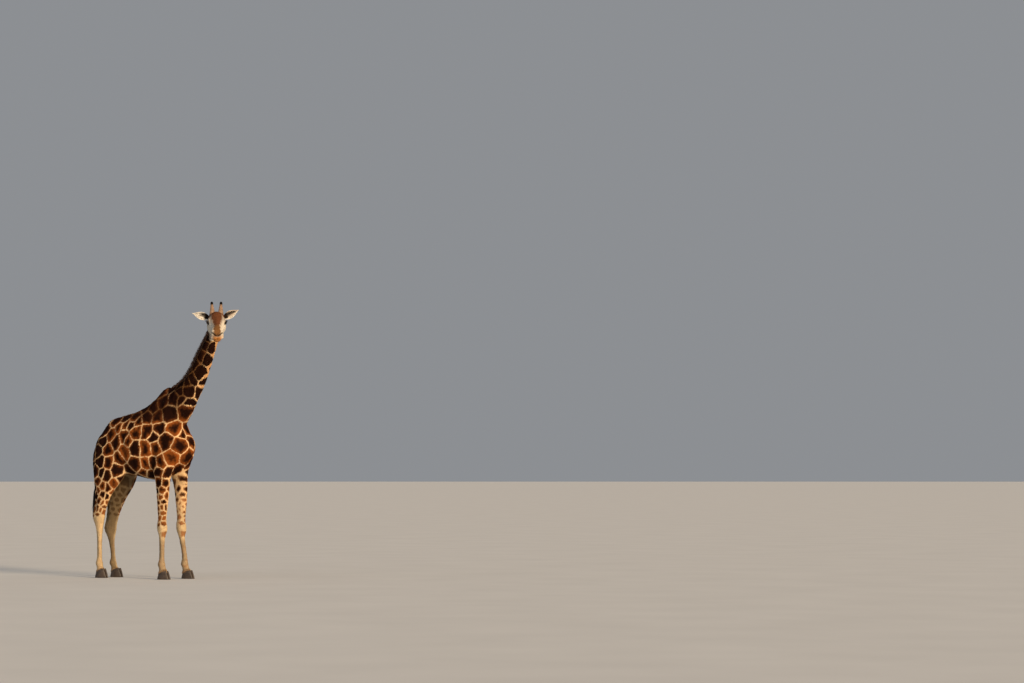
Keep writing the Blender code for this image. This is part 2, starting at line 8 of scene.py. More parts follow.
import bmesh
import bpy
import numpy as np
from bpy.props import FloatProperty, FloatVectorProperty, IntProperty, PointerProperty
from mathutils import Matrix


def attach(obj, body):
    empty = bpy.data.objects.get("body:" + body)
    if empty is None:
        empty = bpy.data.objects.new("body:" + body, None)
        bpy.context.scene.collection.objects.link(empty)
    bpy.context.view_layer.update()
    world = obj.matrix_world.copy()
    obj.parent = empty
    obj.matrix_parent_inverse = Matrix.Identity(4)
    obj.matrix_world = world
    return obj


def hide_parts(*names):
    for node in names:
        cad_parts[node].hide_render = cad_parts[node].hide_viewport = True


bl_info = {
    "name": "Giraffe",
    "version": (1, 0, 0),
    "blender": (4, 5, 0),
    "location": "3D View > Sidebar > Giraffe",
    "description": "Skin, coat and fittings of a standing giraffe over its solids",
    "category": "Object",
}

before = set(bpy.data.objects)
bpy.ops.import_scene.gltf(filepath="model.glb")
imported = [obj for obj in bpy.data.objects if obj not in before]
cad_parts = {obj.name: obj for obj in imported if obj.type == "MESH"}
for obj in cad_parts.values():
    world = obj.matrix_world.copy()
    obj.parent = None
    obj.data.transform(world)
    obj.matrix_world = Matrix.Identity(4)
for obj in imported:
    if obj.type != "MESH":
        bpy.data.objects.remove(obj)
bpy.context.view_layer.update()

# ---------------------------------------------------------------- driving sizes, as in the solids
ORIGIN = np.array([-1.1194, 0.0952, 0.0])  # from the middle of the hind hooves to the frame's origin
FORE_X = 1.24  # fore hooves ahead of the hind ones
SIDES = {"left": 1.0, "right": -1.0}
FORWARD, LEFTWARD, UPWARD = np.eye(3)

# Trunk by distance ahead of the hind hooves:
# x, top, bottom, half width, height of the widest line, roundness above, roundness below
TRUNK = (
    (-0.125, 1.9, 1.74, 0.03, 1.83, 2.0, 2.0),
    (-0.09, 1.99, 1.61, 0.1, 1.83, 2.0, 2.0),
    (-0.02, 2.12, 1.52, 0.165, 1.82, 1.8, 2.0),
    (0.06, 2.255, 1.47, 0.208, 1.83, 1.6, 2.1),
    (0.17, 2.32, 1.47, 0.232, 1.85, 1.5, 2.1),
    (0.3, 2.345, 1.49, 0.248, 1.87, 1.6, 2.1),
    (0.45, 2.378, 1.5, 0.272, 1.88, 1.7, 2.1),
    (0.62, 2.415, 1.475, 0.297, 1.88, 1.75, 2.1),
    (0.8, 2.492, 1.44, 0.303, 1.9, 1.7, 2.1),
    (0.95, 2.592, 1.42, 0.292, 1.93, 1.6, 2.0),
    (1.08, 2.712, 1.42, 0.272, 1.95, 1.45, 1.9),
    (1.2, 2.768, 1.45, 0.25, 1.95, 1.35, 1.8),
    (1.33, 2.66, 1.51, 0.225, 1.94, 1.35, 1.8),
    (1.44, 2.31, 1.59, 0.19, 1.92, 1.8, 1.9),
    (1.535, 2.06, 1.67, 0.15, 1.91, 2.0, 2.0),
    (1.605, 2.0, 1.78, 0.08, 1.9, 2.0, 2.0),
)

# Neck along its middle line: x, z, half depth to the crest, half depth to the throat, half width
NECK = (
    (1.1, 2.05, 0.48, 0.35, 0.19),
    (1.24, 2.31, 0.38, 0.262, 0.174),
    (1.4, 2.525, 0.262, 0.245, 0.16),
    (1.56, 2.72, 0.152, 0.2, 0.134),
    (1.715, 2.94, 0.118, 0.16, 0.114),
    (1.845, 3.18, 0.112, 0.132, 0.096),
    (1.952, 3.4, 0.088, 0.108, 0.084),
    (2.02, 3.545, 0.078, 0.098, 0.08),
    (2.052, 3.64, 0.07, 0.09, 0.078),
)

# Head from the poll to the lips, in its own frame, columns as in the trunk
HEAD = (
    (-0.06, 0.06, -0.045, 0.035, 0.01, 2.0, 2.0),
    (-0.03, 0.095, -0.1, 0.078, 0.01, 2.0, 2.1),
    (0.022, 0.13, -0.148, 0.11, 0.01, 2.1, 2.3),
    (0.077, 0.154, -0.17, 0.126, 0.008, 2.1, 2.4),
    (0.132, 0.162, -0.17, 0.131, 0.006, 2.1, 2.4),
    (0.187, 0.156, -0.16, 0.129, 0.008, 2.2, 2.3),
    (0.24, 0.138, -0.148, 0.119, 0.006, 2.2, 2.2),
    (0.296, 0.114, -0.136, 0.104, 0.0, 2.2, 2.0),
    (0.355, 0.092, -0.126, 0.088, -0.014, 2.1, 2.0),
    (0.412, 0.074, -0.122, 0.08, -0.024, 2.1, 2.1),
    (0.473, 0.06, -0.126, 0.082, -0.032, 2.2, 2.2),
    (0.528, 0.048, -0.142, 0.092, -0.042, 2.3, 2.5),
    (0.578, 0.026, -0.15, 0.094, -0.05, 2.3, 2.5),
    (0.614, -0.004, -0.142, 0.083, -0.06, 2.2, 2.3),
    (0.64, -0.036, -0.112, 0.046, -0.07, 2.0, 2.0),
)
HEAD_AT = np.array([2.048, 0.0, 3.667])  # the poll, where the head frame sits
HEAD_YAW, HEAD_PITCH, HEAD_ROLL = math.radians(-50), math.radians(15.5), math.radians(0.5)

# Legs by height: z, back, front, inner side, outer side
FORE_LEG = (
    (2.52, -0.09, 0.01, 0.02, 0.085),
    (2.42, -0.14, 0.09, 0.02, 0.15),
    (2.22, -0.17, 0.185, 0.02, 0.212),
    (2.02, -0.18, 0.27, 0.02, 0.248),
    (1.89, -0.185, 0.3, 0.03, 0.262),
    (1.76, -0.19, 0.262, 0.045, 0.268),
    (1.63, -0.19, 0.195, 0.065, 0.27),
    (1.53, -0.172, 0.15, 0.088, 0.27),
    (1.42, -0.132, 0.128, 0.106, 0.272),
    (1.3, -0.104, 0.115, 0.12, 0.272),
    (1.18, -0.088, 0.102, 0.128, 0.268),
    (1.0, -0.072, 0.078, 0.14, 0.258),
    (0.88, -0.064, 0.062, 0.146, 0.25),
    (0.8, -0.074, 0.064, 0.141, 0.255),
    (0.74, -0.078, 0.074, 0.136, 0.261),
    (0.69, -0.068, 0.073, 0.138, 0.259),
    (0.63, -0.05, 0.052, 0.15, 0.247),
    (0.56, -0.044, 0.04, 0.16, 0.238),
    (0.42, -0.042, 0.034, 0.165, 0.234),
    (0.3, -0.046, 0.035, 0.165, 0.236),
    (0.245, -0.058, 0.041, 0.157, 0.244),
    (0.2, -0.062, 0.048, 0.152, 0.248),
    (0.15, -0.046, 0.062, 0.155, 0.246),
    (0.105, -0.044, 0.086, 0.148, 0.254),
    (0.07, -0.036, 0.082, 0.156, 0.246),
)
HIND_LEG = (
    (2.21, 0.05, 0.28, 0.02, 0.085),
    (2.12, 0.005, 0.37, 0.02, 0.15),
    (2.0, -0.052, 0.44, 0.02, 0.202),
    (1.85, -0.108, 0.49, 0.02, 0.238),
    (1.7, -0.118, 0.515, 0.022, 0.26),
    (1.57, -0.1, 0.512, 0.034, 0.266),
    (1.46, -0.085, 0.47, 0.052, 0.263),
    (1.35, -0.067, 0.378, 0.075, 0.254),
    (1.25, -0.047, 0.285, 0.092, 0.246),
    (1.12, -0.04, 0.202, 0.106, 0.236),
    (1.0, -0.056, 0.15, 0.115, 0.228),
    (0.93, -0.078, 0.132, 0.118, 0.226),
    (0.86, -0.074, 0.118, 0.117, 0.228),
    (0.78, -0.04, 0.103, 0.122, 0.223),
    (0.7, -0.018, 0.086, 0.128, 0.215),
    (0.6, -0.008, 0.075, 0.134, 0.207),
    (0.45, -0.004, 0.068, 0.137, 0.204),
    (0.3, -0.008, 0.07, 0.137, 0.206),
    (0.245, -0.02, 0.076, 0.13, 0.213),
    (0.2, -0.024, 0.084, 0.125, 0.218),
    (0.15, -0.008, 0.098, 0.128, 0.216),
    (0.105, -0.006, 0.122, 0.121, 0.224),
    (0.07, 0.002, 0.118, 0.129, 0.216),
)
LEG_ROUNDNESS = 2.15

# How each leg is set: height on the plain leg, height it stands at, shift ahead, shift outward
POSES = {
    "foreleg_right": ((0.0, 0.0, 0.0, -0.005), (0.25, 0.25, 0.0, -0.005), (0.72, 0.72, 0.0, 0.0),
                      (1.6, 1.6, 0.0, 0.0), (2.6, 2.6, 0.0, 0.0)),
    "foreleg_left": ((0.0, 0.0, 0.1, 0.02), (0.25, 0.25, 0.085, 0.015), (0.72, 0.72, 0.025, 0.0),
                     (1.6, 1.6, 0.0, 0.0), (2.6, 2.6, 0.0, 0.0)),
    "hindleg_right": ((0.0, 0.0, 0.0, -0.01), (0.25, 0.25, 0.0, -0.01), (0.86, 0.86, 0.0, 0.0),
                      (1.5, 1.5, 0.0, 0.0), (2.6, 2.6, 0.0, 0.0)),
    "hindleg_left": ((0.0, 0.0, 0.015, -0.02), (0.25, 0.245, -0.015, -0.015), (0.86, 0.675, -0.085, 0.01),
                     (1.5, 1.44, -0.05, 0.0), (2.1, 2.1, 0.0, 0.0), (2.6, 2.6, 0.0, 0.0)),
}
LEG_TABLES = {"foreleg": (FORE_LEG, FORE_X), "hindleg": (HIND_LEG, 0.0)}

# Ears, ossicones and eyes in the head's frame; the right side mirrors the left, but for the tips of the ears
EAR_ROOT = np.array([0.033, 0.108, 0.078])
EAR_TIPS = {"left": np.array([-0.02, 0.316, 0.182]), "right": np.array([-0.015, 0.342, 0.135])}
EAR_HALF_WIDTH, EAR_CUP, EAR_WALL = 0.054, 0.036, 0.006
EAR_UPPER = -1.0  # the side of an ear's width, as it is worked out, that lies uppermost
OSSICONE_ROOT, OSSICONE_TIP = np.array([0.088, 0.056, 0.115]), np.array([-0.005, 0.067, 0.304])
OSSICONE_SIZES = (
    (-0.1, 0.062), (0.0, 0.053), (0.1, 0.046), (0.25, 0.039), (0.5, 0.029), (0.75, 0.022), (0.9, 0.023),
    (0.97, 0.018), (1.0, 0.006)
)
EYE_AT, EYE_RADIUS = np.array([0.198, 0.113, 0.05]), 0.03
# The opening between the lids from its middle to its rim, in radians round the ball
LID_LONG, LID_UPPER, LID_LOWER = 0.98, 0.58, 0.44
ORBIT_AT, ORBIT_RADII = np.array([0.19, 0.084, 0.052]), np.array([0.07, 0.05, 0.054])

# Tail: x, z, half width; then its brush of long hair
TAIL = (
    (-0.015, 2.085, 0.05), (-0.095, 2.04, 0.044), (-0.165, 1.935, 0.033), (-0.195, 1.72, 0.026),
    (-0.198, 1.45, 0.022), (-0.196, 1.25, 0.018)
)
TAIL_BRUSH = (
    (-0.196, 1.3, 0.02), (-0.198, 1.22, 0.033), (-0.2, 1.08, 0.042), (-0.2, 0.94, 0.037),
    (-0.198, 0.85, 0.022), (-0.196, 0.8, 0.006)
)

# Upright mane on the crest of the neck: share of the neck's length, height over the flesh
MANE = (
    (0.18, 0.008), (0.23, 0.04), (0.28, 0.068), (0.34, 0.084), (0.5, 0.086), (0.66, 0.078), (0.8, 0.064),
    (0.9, 0.052), (0.96, 0.036), (1.0, 0.015)
)

# Hooves by height: z, back, front, half width
HOOF = (
    (0.0, -0.068, 0.126, 0.071), (0.03, -0.066, 0.115, 0.069), (0.06, -0.058, 0.1, 0.064),
    (0.088, -0.05, 0.086, 0.058), (0.104, -0.044, 0.076, 0.053)
)
HOOF_AHEAD, HOOF_OUT = {"foreleg": 0.014, "hindleg": 0.052}, {"foreleg": 0.201, "hindleg": 0.1725}
CORONET_HEIGHT, CORONET_SLOPE = 0.088, math.radians(14)
CLAW_GAP = 0.0035  # half of the cleft between two claws

# Bones, muscles, tendons and hollows over the lofts. Both sides: path (x, outward, z), width, height
FORMS = (
    (((1.22, 0.17, 2.52), (1.33, 0.24, 2.1)), 0.045, 0.01),  # spine of the shoulder blade
    (((1.47, 0.19, 1.94),), 0.075, 0.014),  # point of the shoulder
    (((1.0, 0.26, 2.42), (1.05, 0.29, 2.05), (1.09, 0.28, 1.74)), 0.036, -0.012),  # behind the shoulder
    (((1.38, 0.2, 2.38), (1.48, 0.19, 2.12)), 0.04, -0.01),  # between neck and shoulder
    (((1.05, 0.26, 1.64),), 0.055, 0.016),  # elbow
    (((1.3, 0.26, 1.72), (1.29, 0.27, 1.3)), 0.045, 0.008),  # forearm muscle
    (((1.17, 0.27, 1.55), (1.2, 0.27, 1.22)), 0.022, -0.007),  # groove of the forearm
    (((1.22, 0.2, 2.0), (1.2, 0.26, 1.78)), 0.05, 0.008),  # upper arm
    (((0.43, 0.24, 2.2),), 0.07, 0.018),  # hip bone
    (((0.4, 0.22, 2.25), (0.12, 0.12, 2.22)), 0.036, 0.009),  # rim of the pelvis
    (((0.0, 0.12, 2.02),), 0.045, 0.014),  # pin bone
    (((0.52, 0.27, 2.1), (0.58, 0.28, 1.8), (0.53, 0.26, 1.58)), 0.05, -0.014),  # flank hollow
    (((0.46, 0.24, 1.68),), 0.075, 0.012),  # stifle
    (((0.12, 0.22, 2.06), (0.07, 0.25, 1.78), (0.06, 0.25, 1.5)), 0.026, -0.008),  # hind groove of the thigh
    (((0.28, 0.27, 1.5), (0.16, 0.25, 1.22)), 0.026, -0.006),  # groove of the gaskin
    (((0.0, 0.0, 2.2), (0.3, 0.0, 2.36), (0.62, 0.0, 2.43), (0.9, 0.0, 2.56), (1.08, 0.0, 2.72)),
     0.09, 0.006),  # line of the back
    (((1.28, 0.0, 2.73), (1.36, 0.0, 2.77), (1.44, 0.0, 2.83)), 0.05, 0.016),  # between withers and mane
    (((0.68, 0.29, 2.2), (0.72, 0.31, 1.8), (0.7, 0.25, 1.58)), 0.02, 0.004),  # ribs
    (((0.76, 0.29, 2.24), (0.8, 0.31, 1.82), (0.78, 0.25, 1.56)), 0.02, 0.004),
    (((0.84, 0.29, 2.28), (0.88, 0.31, 1.84), (0.86, 0.25, 1.56)), 0.02, 0.004),
    (((0.92, 0.28, 2.32), (0.96, 0.3, 1.86), (0.94, 0.25, 1.56)), 0.02, 0.004),
    (((1.5, 0.12, 2.42), (1.66, 0.1, 2.7), (1.82, 0.085, 3.02), (1.93, 0.075, 3.27), (2.0, 0.07, 3.5)),
     0.024, -0.01),  # groove of the neck vein
    (((1.36, 0.17, 2.62), (1.55, 0.14, 2.84), (1.72, 0.11, 3.12), (1.86, 0.09, 3.38)), 0.034, 0.006),
    (((1.7, 0.03, 2.7), (1.8, 0.02, 2.86), (1.95, 0.02, 3.15), (2.05, 0.02, 3.38)), 0.028, 0.008),  # windpipe
)
# The same on the plain leg, each side of each leg: path (ahead of the leg, outward, z), width, height
LEG_FORMS = {
    "foreleg": (
        (((0.07, 0.2, 0.775),), 0.04, 0.007), (((0.068, 0.2, 0.69),), 0.024, 0.006),
        (((0.02, 0.142, 0.735),), 0.03, 0.006), (((0.02, 0.258, 0.735),), 0.03, 0.006),
        (((-0.08, 0.2, 0.775),), 0.026, 0.009), (((0.072, 0.2, 0.733),), 0.012, -0.004),
        (((-0.05, 0.2, 0.62), (-0.048, 0.2, 0.3)), 0.013, 0.006),
        (((-0.02, 0.163, 0.6), (-0.022, 0.167, 0.3)), 0.013, -0.007),
        (((-0.02, 0.237, 0.6), (-0.022, 0.234, 0.3)), 0.013, -0.007),
        (((-0.064, 0.2, 0.215),), 0.026, 0.008), (((0.048, 0.2, 0.215),), 0.026, 0.005),
        (((0.0, 0.152, 0.215),), 0.024, 0.005), (((0.0, 0.248, 0.215),), 0.024, 0.005),
        (((-0.05, 0.2, 0.15),), 0.022, -0.006), (((0.086, 0.2, 0.112),), 0.03, 0.004),
        (((0.06, 0.2, 1.3), (0.062, 0.2, 0.86)), 0.018, 0.004),
    ),
    "hindleg": (
        (((-0.08, 0.172, 0.905),), 0.026, 0.01), (((0.03, 0.118, 0.87),), 0.034, 0.006),
        (((0.03, 0.228, 0.87),), 0.034, 0.006), (((0.122, 0.172, 0.88),), 0.036, 0.005),
        (((-0.058, 0.172, 0.98), (-0.046, 0.171, 1.24)), 0.016, 0.009),
        (((-0.012, 0.112, 1.0), (0.012, 0.1, 1.26)), 0.026, -0.013),
        (((-0.012, 0.232, 1.0), (0.012, 0.24, 1.26)), 0.026, -0.013),
        (((-0.01, 0.172, 0.7), (-0.008, 0.172, 0.3)), 0.013, 0.006),
        (((0.016, 0.136, 0.66), (0.016, 0.139, 0.3)), 0.013, -0.007),
        (((0.016, 0.208, 0.66), (0.016, 0.205, 0.3)), 0.013, -0.007),
        (((-0.028, 0.172, 0.215),), 0.026, 0.008), (((0.084, 0.172, 0.215),), 0.026, 0.005),
        (((0.03, 0.126, 0.215),), 0.024, 0.005), (((0.03, 0.218, 0.215),), 0.024, 0.005),
        (((-0.014, 0.172, 0.15),), 0.022, -0.006),
    ),
}
# The same on the head, in its own frame, both sides
HEAD_FORMS = (
    (((0.24, 0.118, 0.012), (0.33, 0.098, -0.018), (0.42, 0.083, -0.03)), 0.02, 0.007),  # cheek ridge
    (((0.1, 0.128, -0.05),), 0.07, 0.008),  # jaw muscle
    (((0.2, 0.105, -0.115), (0.31, 0.085, -0.1)), 0.028, -0.008),  # in front of it
    (((0.3, 0.075, 0.045), (0.42, 0.066, 0.02), (0.5, 0.078, -0.006)), 0.024, -0.008),  # beside the nose
    (((0.27, 0.0, 0.128), (0.4, 0.0, 0.08), (0.5, 0.0, 0.056)), 0.026, 0.006),  # bridge of the nose
    (((0.135, 0.0, 0.165),), 0.058, 0.03),  # boss of the forehead
    (((0.09, 0.056, 0.13),), 0.05, 0.016),  # foot of the ossicone
    (((0.165, 0.11, 0.096), (0.215, 0.112, 0.092), (0.255, 0.103, 0.072)), 0.014, 0.007),  # brow
    (((0.245, 0.116, 0.028), (0.285, 0.104, 0.01)), 0.012, -0.006),  # tear pit
    (((0.033, 0.104, 0.07),), 0.036, 0.01),  # root of the ear
    (((0.634, 0.015, -0.053), (0.616, 0.04, -0.04), (0.592, 0.064, -0.022), (0.578, 0.076, -0.028)),
     0.0045, -0.013),  # nostril
    (((0.622, 0.01, -0.036), (0.6, 0.04, -0.018), (0.572, 0.062, -0.002)), 0.011, 0.008),  # its upper rim
    (((0.632, 0.034, -0.064), (0.606, 0.068, -0.046)), 0.01, 0.004),  # its lower rim
    (((0.64, 0.0, -0.056), (0.636, 0.0, -0.1)), 0.005, -0.004),  # cleft of the lip
    (((0.632, 0.0, -0.099), (0.63, 0.034, -0.1), (0.604, 0.072, -0.102), (0.56, 0.092, -0.1),
      (0.49, 0.09, -0.094), (0.425, 0.084, -0.084)), 0.0042, -0.01),  # line of the mouth
    (((0.628, 0.03, -0.09), (0.59, 0.08, -0.088), (0.52, 0.092, -0.08)), 0.014, 0.005),  # upper lip
    (((0.6, 0.0, -0.15), (0.57, 0.03, -0.148)), 0.024, 0.006),  # chin
    (((0.615, 0.07, -0.14), (0.55, 0.09, -0.142)), 0.026, -0.013),  # beside the chin
    (((0.628, 0.076, -0.06),), 0.03, -0.008),  # corner of the muzzle
)
NECK_WRINKLES = 9  # soft folds across the throat, close under the head


def linear(code):
    """The three linear parts of an sRGB hex colour."""
    raw = np.array([int(code[i:i + 2], 16) / 255 for i in (1, 3, 5)])
    return tuple(float(c) for c in np.where(raw <= 0.04045, raw / 12.92, ((raw + 0.055) / 1.055) ** 2.4))


# ---------------------------------------------------------------- shaping tools
def rise(value, low, high):
    """0 below low, 1 above high and an eased slope between."""
    t = np.clip((value - low) / (high - low), 0, 1)
    return t * t * (3 - 2 * t)


def spread(rows, steps):
    """Rows of a table, with steps - 1 more between each two, on smooth curves through its values."""
    rows = np.array(rows, float)
    along = np.linspace(0, len(rows) - 1, (len(rows) - 1) * steps + 1)
    slopes = np.gradient(rows, axis=0)
    low = np.minimum(along.astype(int), len(rows) - 2)
    t = (along - low)[:, None]
    start, end = rows[low], rows[low + 1]
    return (start * (1 + 2 * t) * (1 - t) ** 2 + slopes[low] * t * (1 - t) ** 2
            + end * t * t * (3 - 2 * t) + slopes[low + 1] * t * t * (t - 1))


def unit(ways):
    """Directions brought to length 1."""
    return ways / np.maximum(np.linalg.norm(ways, axis=-1, keepdims=True), 1e-9)


def round_angles(count):
    """Angles evenly round a circle."""
    return np.linspace(0, 2 * np.pi, count, endpoint=False)


def sections(centres, side, up, extents, roundness, count):
    """Rings of a rounded outline: centre + side * across + up * upward, where across and
    upward are the cosine and sine of the angle round, each to the power 2 / roundness and
    times the reach that way. Sides, ups and roundnesses are one for each ring, or one for all."""
    c, s = np.cos(round_angles(count)), np.sin(round_angles(count))
    side, up = (np.broadcast_to(way, centres.shape)[:, None] for way in (side, up))
    left, right, above, below = (e[:, None] for e in extents)
    upper, lower = (np.broadcast_to(r, len(centres))[:, None] for r in roundness)
    power = 2 / np.where(s > 0, upper, lower)
    across = np.sign(c) * np.abs(c) ** power * np.where(c > 0, left, right)
    upward = np.sign(s) * np.abs(s) ** power * np.where(s > 0, above, below)
    return centres[:, None] + side * across[..., None] + up * upward[..., None]


def grid_faces(rows, columns, ring=True, loop=False):
    """Faces between the points of a grid: ring joins each
    row's end to its start, loop the last row to the first."""
    i, j = (a.ravel() for a in np.meshgrid(np.arange(rows - (not loop)), np.arange(columns - (not ring)),
                                           indexing="ij"))
    k, l = (i + 1) % rows, (j + 1) % columns
    return np.stack([i * columns + j, i * columns + l, k * columns + l, k * columns + j], 1)


def carried(rings):
    """Points and faces of the closed skin through rings of equally many points; a fan closes each end."""
    n, m = rings.shape[:2]
    points = np.concatenate([rings.reshape(-1, 3), rings[:1].mean(1), rings[-1:].mean(1)])
    j, k = np.arange(m), (np.arange(m) + 1) % m
    first = np.stack([np.full(m, n * m), k, j], 1)
    last = np.stack([np.full(m, n * m + 1), (n - 1) * m + j, (n - 1) * m + k], 1)
    return points, [grid_faces(n, m), first, last]


def joined(parts):
    """Several (points, faces) as one."""
    points, faces, start = [], [], 0
    for some, lists in parts:
        points.append(some)
        faces += [f + start for f in lists]
        start += len(some)
    return np.concatenate(points), faces


def outward(points, faces):
    """The faces, turned over where the volume they enclose comes out negative."""
    volume = 0.0
    for f in faces:
        for k in range(1, f.shape[1] - 1):
            a, b, c = points[f[:, 0]], points[f[:, k]], points[f[:, k + 1]]
            volume += np.einsum("ij,ij->i", a, np.cross(b, c)).sum()
    return faces if volume > 0 else [f[:, ::-1] for f in faces]


def mesh_piece(name, points, faces, closed=True):
    """A smooth mesh object from an array of points and arrays of three- or four-cornered faces."""
    points = np.asarray(points, float).reshape(-1, 3)
    if closed:
        faces = outward(points, faces)
    counts = np.concatenate([np.full(len(f), f.shape[1]) for f in faces])
    corners = np.concatenate([f.ravel() for f in faces]).astype(np.int32)
    mesh = bpy.data.meshes.new(name)
    mesh.vertices.add(len(points))
    mesh.vertices.foreach_set("co", points.astype(np.float32).ravel())
    mesh.loops.add(len(corners))
    mesh.loops.foreach_set("vertex_index", corners)
    mesh.polygons.add(len(counts))
    mesh.polygons.foreach_set("loop_start", np.concatenate([[0], np.cumsum(counts)[:-1]]).astype(np.int32))
    mesh.update(calc_edges=True)
    mesh.validate()
    mesh.shade_smooth()
    obj = bpy.data.objects.new(name, mesh)
    bpy.context.scene.collection.objects.link(obj)
    return obj


def taken(rows, key, width, kind=np.float32):
    """One property of all rows of a mesh's data, as an array with that many columns."""
    flat = np.empty(len(rows) * width, kind)
    rows.foreach_get(key, flat)
    return flat.reshape(-1, width) if width > 1 else flat


def points_of(obj):
    """Where a mesh's points are."""
    return taken(obj.data.vertices, "co", 3).astype(float)


def normals_of(obj):
    """Which way the surface faces at each point of a mesh."""
    return taken(obj.data.vertex_normals, "vector", 3).astype(float)


def set_points(obj, points):
    """Moves a mesh's points."""
    obj.data.vertices.foreach_set("co", np.asarray(points, np.float32).ravel())
    obj.data.update()


def store(obj, name, values):
    """A number or a colour for every vertex, kept on the mesh for the materials."""
    values = np.asarray(values, np.float32)
    if values.ndim == 1:
        obj.data.attributes.new(name, "FLOAT", "POINT").data.foreach_set("value", values)
    else:
        full = np.concatenate([values, np.ones((len(values), 1), np.float32)], 1)
        obj.data.attributes.new(name, "FLOAT_COLOR", "POINT").data.foreach_set("color", full.ravel())


def set_map(obj, places):
    """A map named OFBake that puts each point of the mesh at its place."""
    flat = places[taken(obj.data.loops, "vertex_index", 1, np.int32)].astype(np.float32)
    obj.data.uv_layers.new(name="OFBake").data.foreach_set("uv", flat.ravel())


def store_all(obj, values):
    """Several of them, by name."""
    for name, value in values.items():
        store(obj, name, value)


def apply_modifiers(obj):
    """Turns what the modifiers make of a mesh into the mesh itself."""
    graph = bpy.context.evaluated_depsgraph_get()
    shaped = bpy.data.meshes.new_from_object(obj.evaluated_get(graph))
    obj.modifiers.clear()
    obj.data = shaped
    return obj


def ripple(points, size, seed):
    """Smooth noise from -1 to 1: the mean of eight sine
    waves of about that wavelength, in random directions."""
    rng = np.random.default_rng(seed)
    ways = rng.normal(size=(8, 3))
    ways /= np.linalg.norm(ways, axis=1)[:, None]
    waves = 2 * np.pi / (size * rng.uniform(0.7, 1.5, 8))
    return np.sin(points @ (ways * waves[:, None]).T + rng.uniform(0, 6.28, 8)).mean(1) * 1.9


def path_distance(points, path):
    """How far each point is from a path of straight runs."""
    path = np.array(path, float)
    if len(path) == 1:
        return np.linalg.norm(points - path[0], axis=1)
    best = np.full(len(points), 9.0)
    for a, b in zip(path[:-1], path[1:]):
        run = b - a
        t = np.clip((points - a) @ run / max(run @ run, 1e-12), 0, 1)
        best = np.minimum(best, np.linalg.norm(points - a - t[:, None] * run, axis=1))
    return best


def turn(axis, angle):
    """The matrix that turns points about an axis."""
    c, s = math.cos(angle), math.sin(angle)
    return np.array({"X": ((1, 0, 0), (0, c, -s), (0, s, c)), "Y": ((c, 0, s), (0, 1, 0), (-s, 0, c)),
                     "Z": ((c, -s, 0), (s, c, 0), (0, 0, 1))}[axis])


HEAD_TURN = turn("Z", HEAD_YAW) @ turn("Y", HEAD_PITCH) @ turn("X", HEAD_ROLL)


def from_head(points):
    """From the head's frame to the body's."""
    return np.asarray(points) @ HEAD_TURN.T + HEAD_AT


def to_head(points):
    """From the body's frame to the head's."""
    return (np.asarray(points) - HEAD_AT) @ HEAD_TURN


# ---------------------------------------------------------------- body forms
def barrel(rows, count=56):
    """A form along x from rows of x, top, bottom, half width, widest height, roundness above and below."""
    x, top, bottom, half, wide, above, below = spread(rows, 4).T
    centres = np.stack([x, np.zeros_like(x), wide], 1)
    return sections(centres, LEFTWARD, UPWARD, (half, half, top - wide, wide - bottom), (above, below), count)


def middle_line(table, steps):
    """Points, directions and upper directions along a line
    in the middle plane, and its table's rows: x, z, more."""
    rows = spread(table, steps)
    points = np.stack([rows[:, 0], np.zeros(len(rows)), rows[:, 1]], 1)
    ahead = unit(np.gradient(points, axis=0))
    return points, ahead, np.stack([-ahead[:, 2], np.zeros(len(rows)), ahead[:, 0]], 1), rows


def neck_line():
    """The neck's middle line, from inside the chest to
    the poll; its upper directions point to the crest."""
    return middle_line(NECK, 4)


def neck_form():
    """Rings of the neck: crest and throat each with their own depth."""
    points, _, crest, rows = neck_line()
    return sections(points, LEFTWARD, crest, (rows[:, 4], rows[:, 4], rows[:, 2], rows[:, 3]), (1.9, 2.1), 48)


def tail_form():
    """Rings of the tail, round all along."""
    points, _, up, rows = middle_line(TAIL, 5)
    return sections(points, LEFTWARD, up, (rows[:, 2],) * 4, (2.0, 2.0), 24)


def ball(centre, radii, around=40, up=24):
    """An ellipsoid: rings of radius cos(latitude) at height sin(latitude), closed at both poles."""
    latitude = np.linspace(-np.pi / 2, np.pi / 2, up)[1:-1]
    longitude = round_angles(around)
    flat = np.cos(latitude)[:, None]
    rings = np.stack([flat * np.cos(longitude), flat * np.sin(longitude),
                      np.repeat(np.sin(latitude)[:, None], around, 1)], -1)
    points, faces = carried(rings)
    points[-2:] = ((0, 0, -1), (0, 0, 1))
    return points * radii + centre, faces


def posed(name, points):
    """Points of the plain leg, carried to where that leg
    stands: eased shifts between the heights of its table."""
    table = np.array(POSES[name])
    z = points[..., 2]
    row = np.clip(np.searchsorted(table[:, 0], z, side="left") - 1, 0, len(table) - 2)
    low, high = table[row], table[row + 1]
    t = (z - low[..., 0]) / (high[..., 0] - low[..., 0])
    ease = t * t * (3 - 2 * t)
    ahead = low[..., 2] + (high[..., 2] - low[..., 2]) * ease
    out = low[..., 3] + (high[..., 3] - low[..., 3]) * ease
    height = low[..., 1] + (high[..., 1] - low[..., 1]) * t
    side = SIDES[name.split("_")[1]]
    return np.stack([points[..., 0] + ahead, side * (points[..., 1] + out), height], -1)


def leg_form(name):
    """Level rings of one leg, carried to where it stands."""
    table, foot_x = LEG_TABLES[name.split("_")[0]]
    z, back, front, inner, outer = spread(table, 4).T
    centres = np.stack([foot_x + (back + front) / 2, (inner + outer) / 2, z], 1)
    long, wide = (front - back) / 2, (outer - inner) / 2
    rings = sections(centres, FORWARD, LEFTWARD, (long, long, wide, wide), (LEG_ROUNDNESS,) * 2, 40)
    return posed(name, rings)


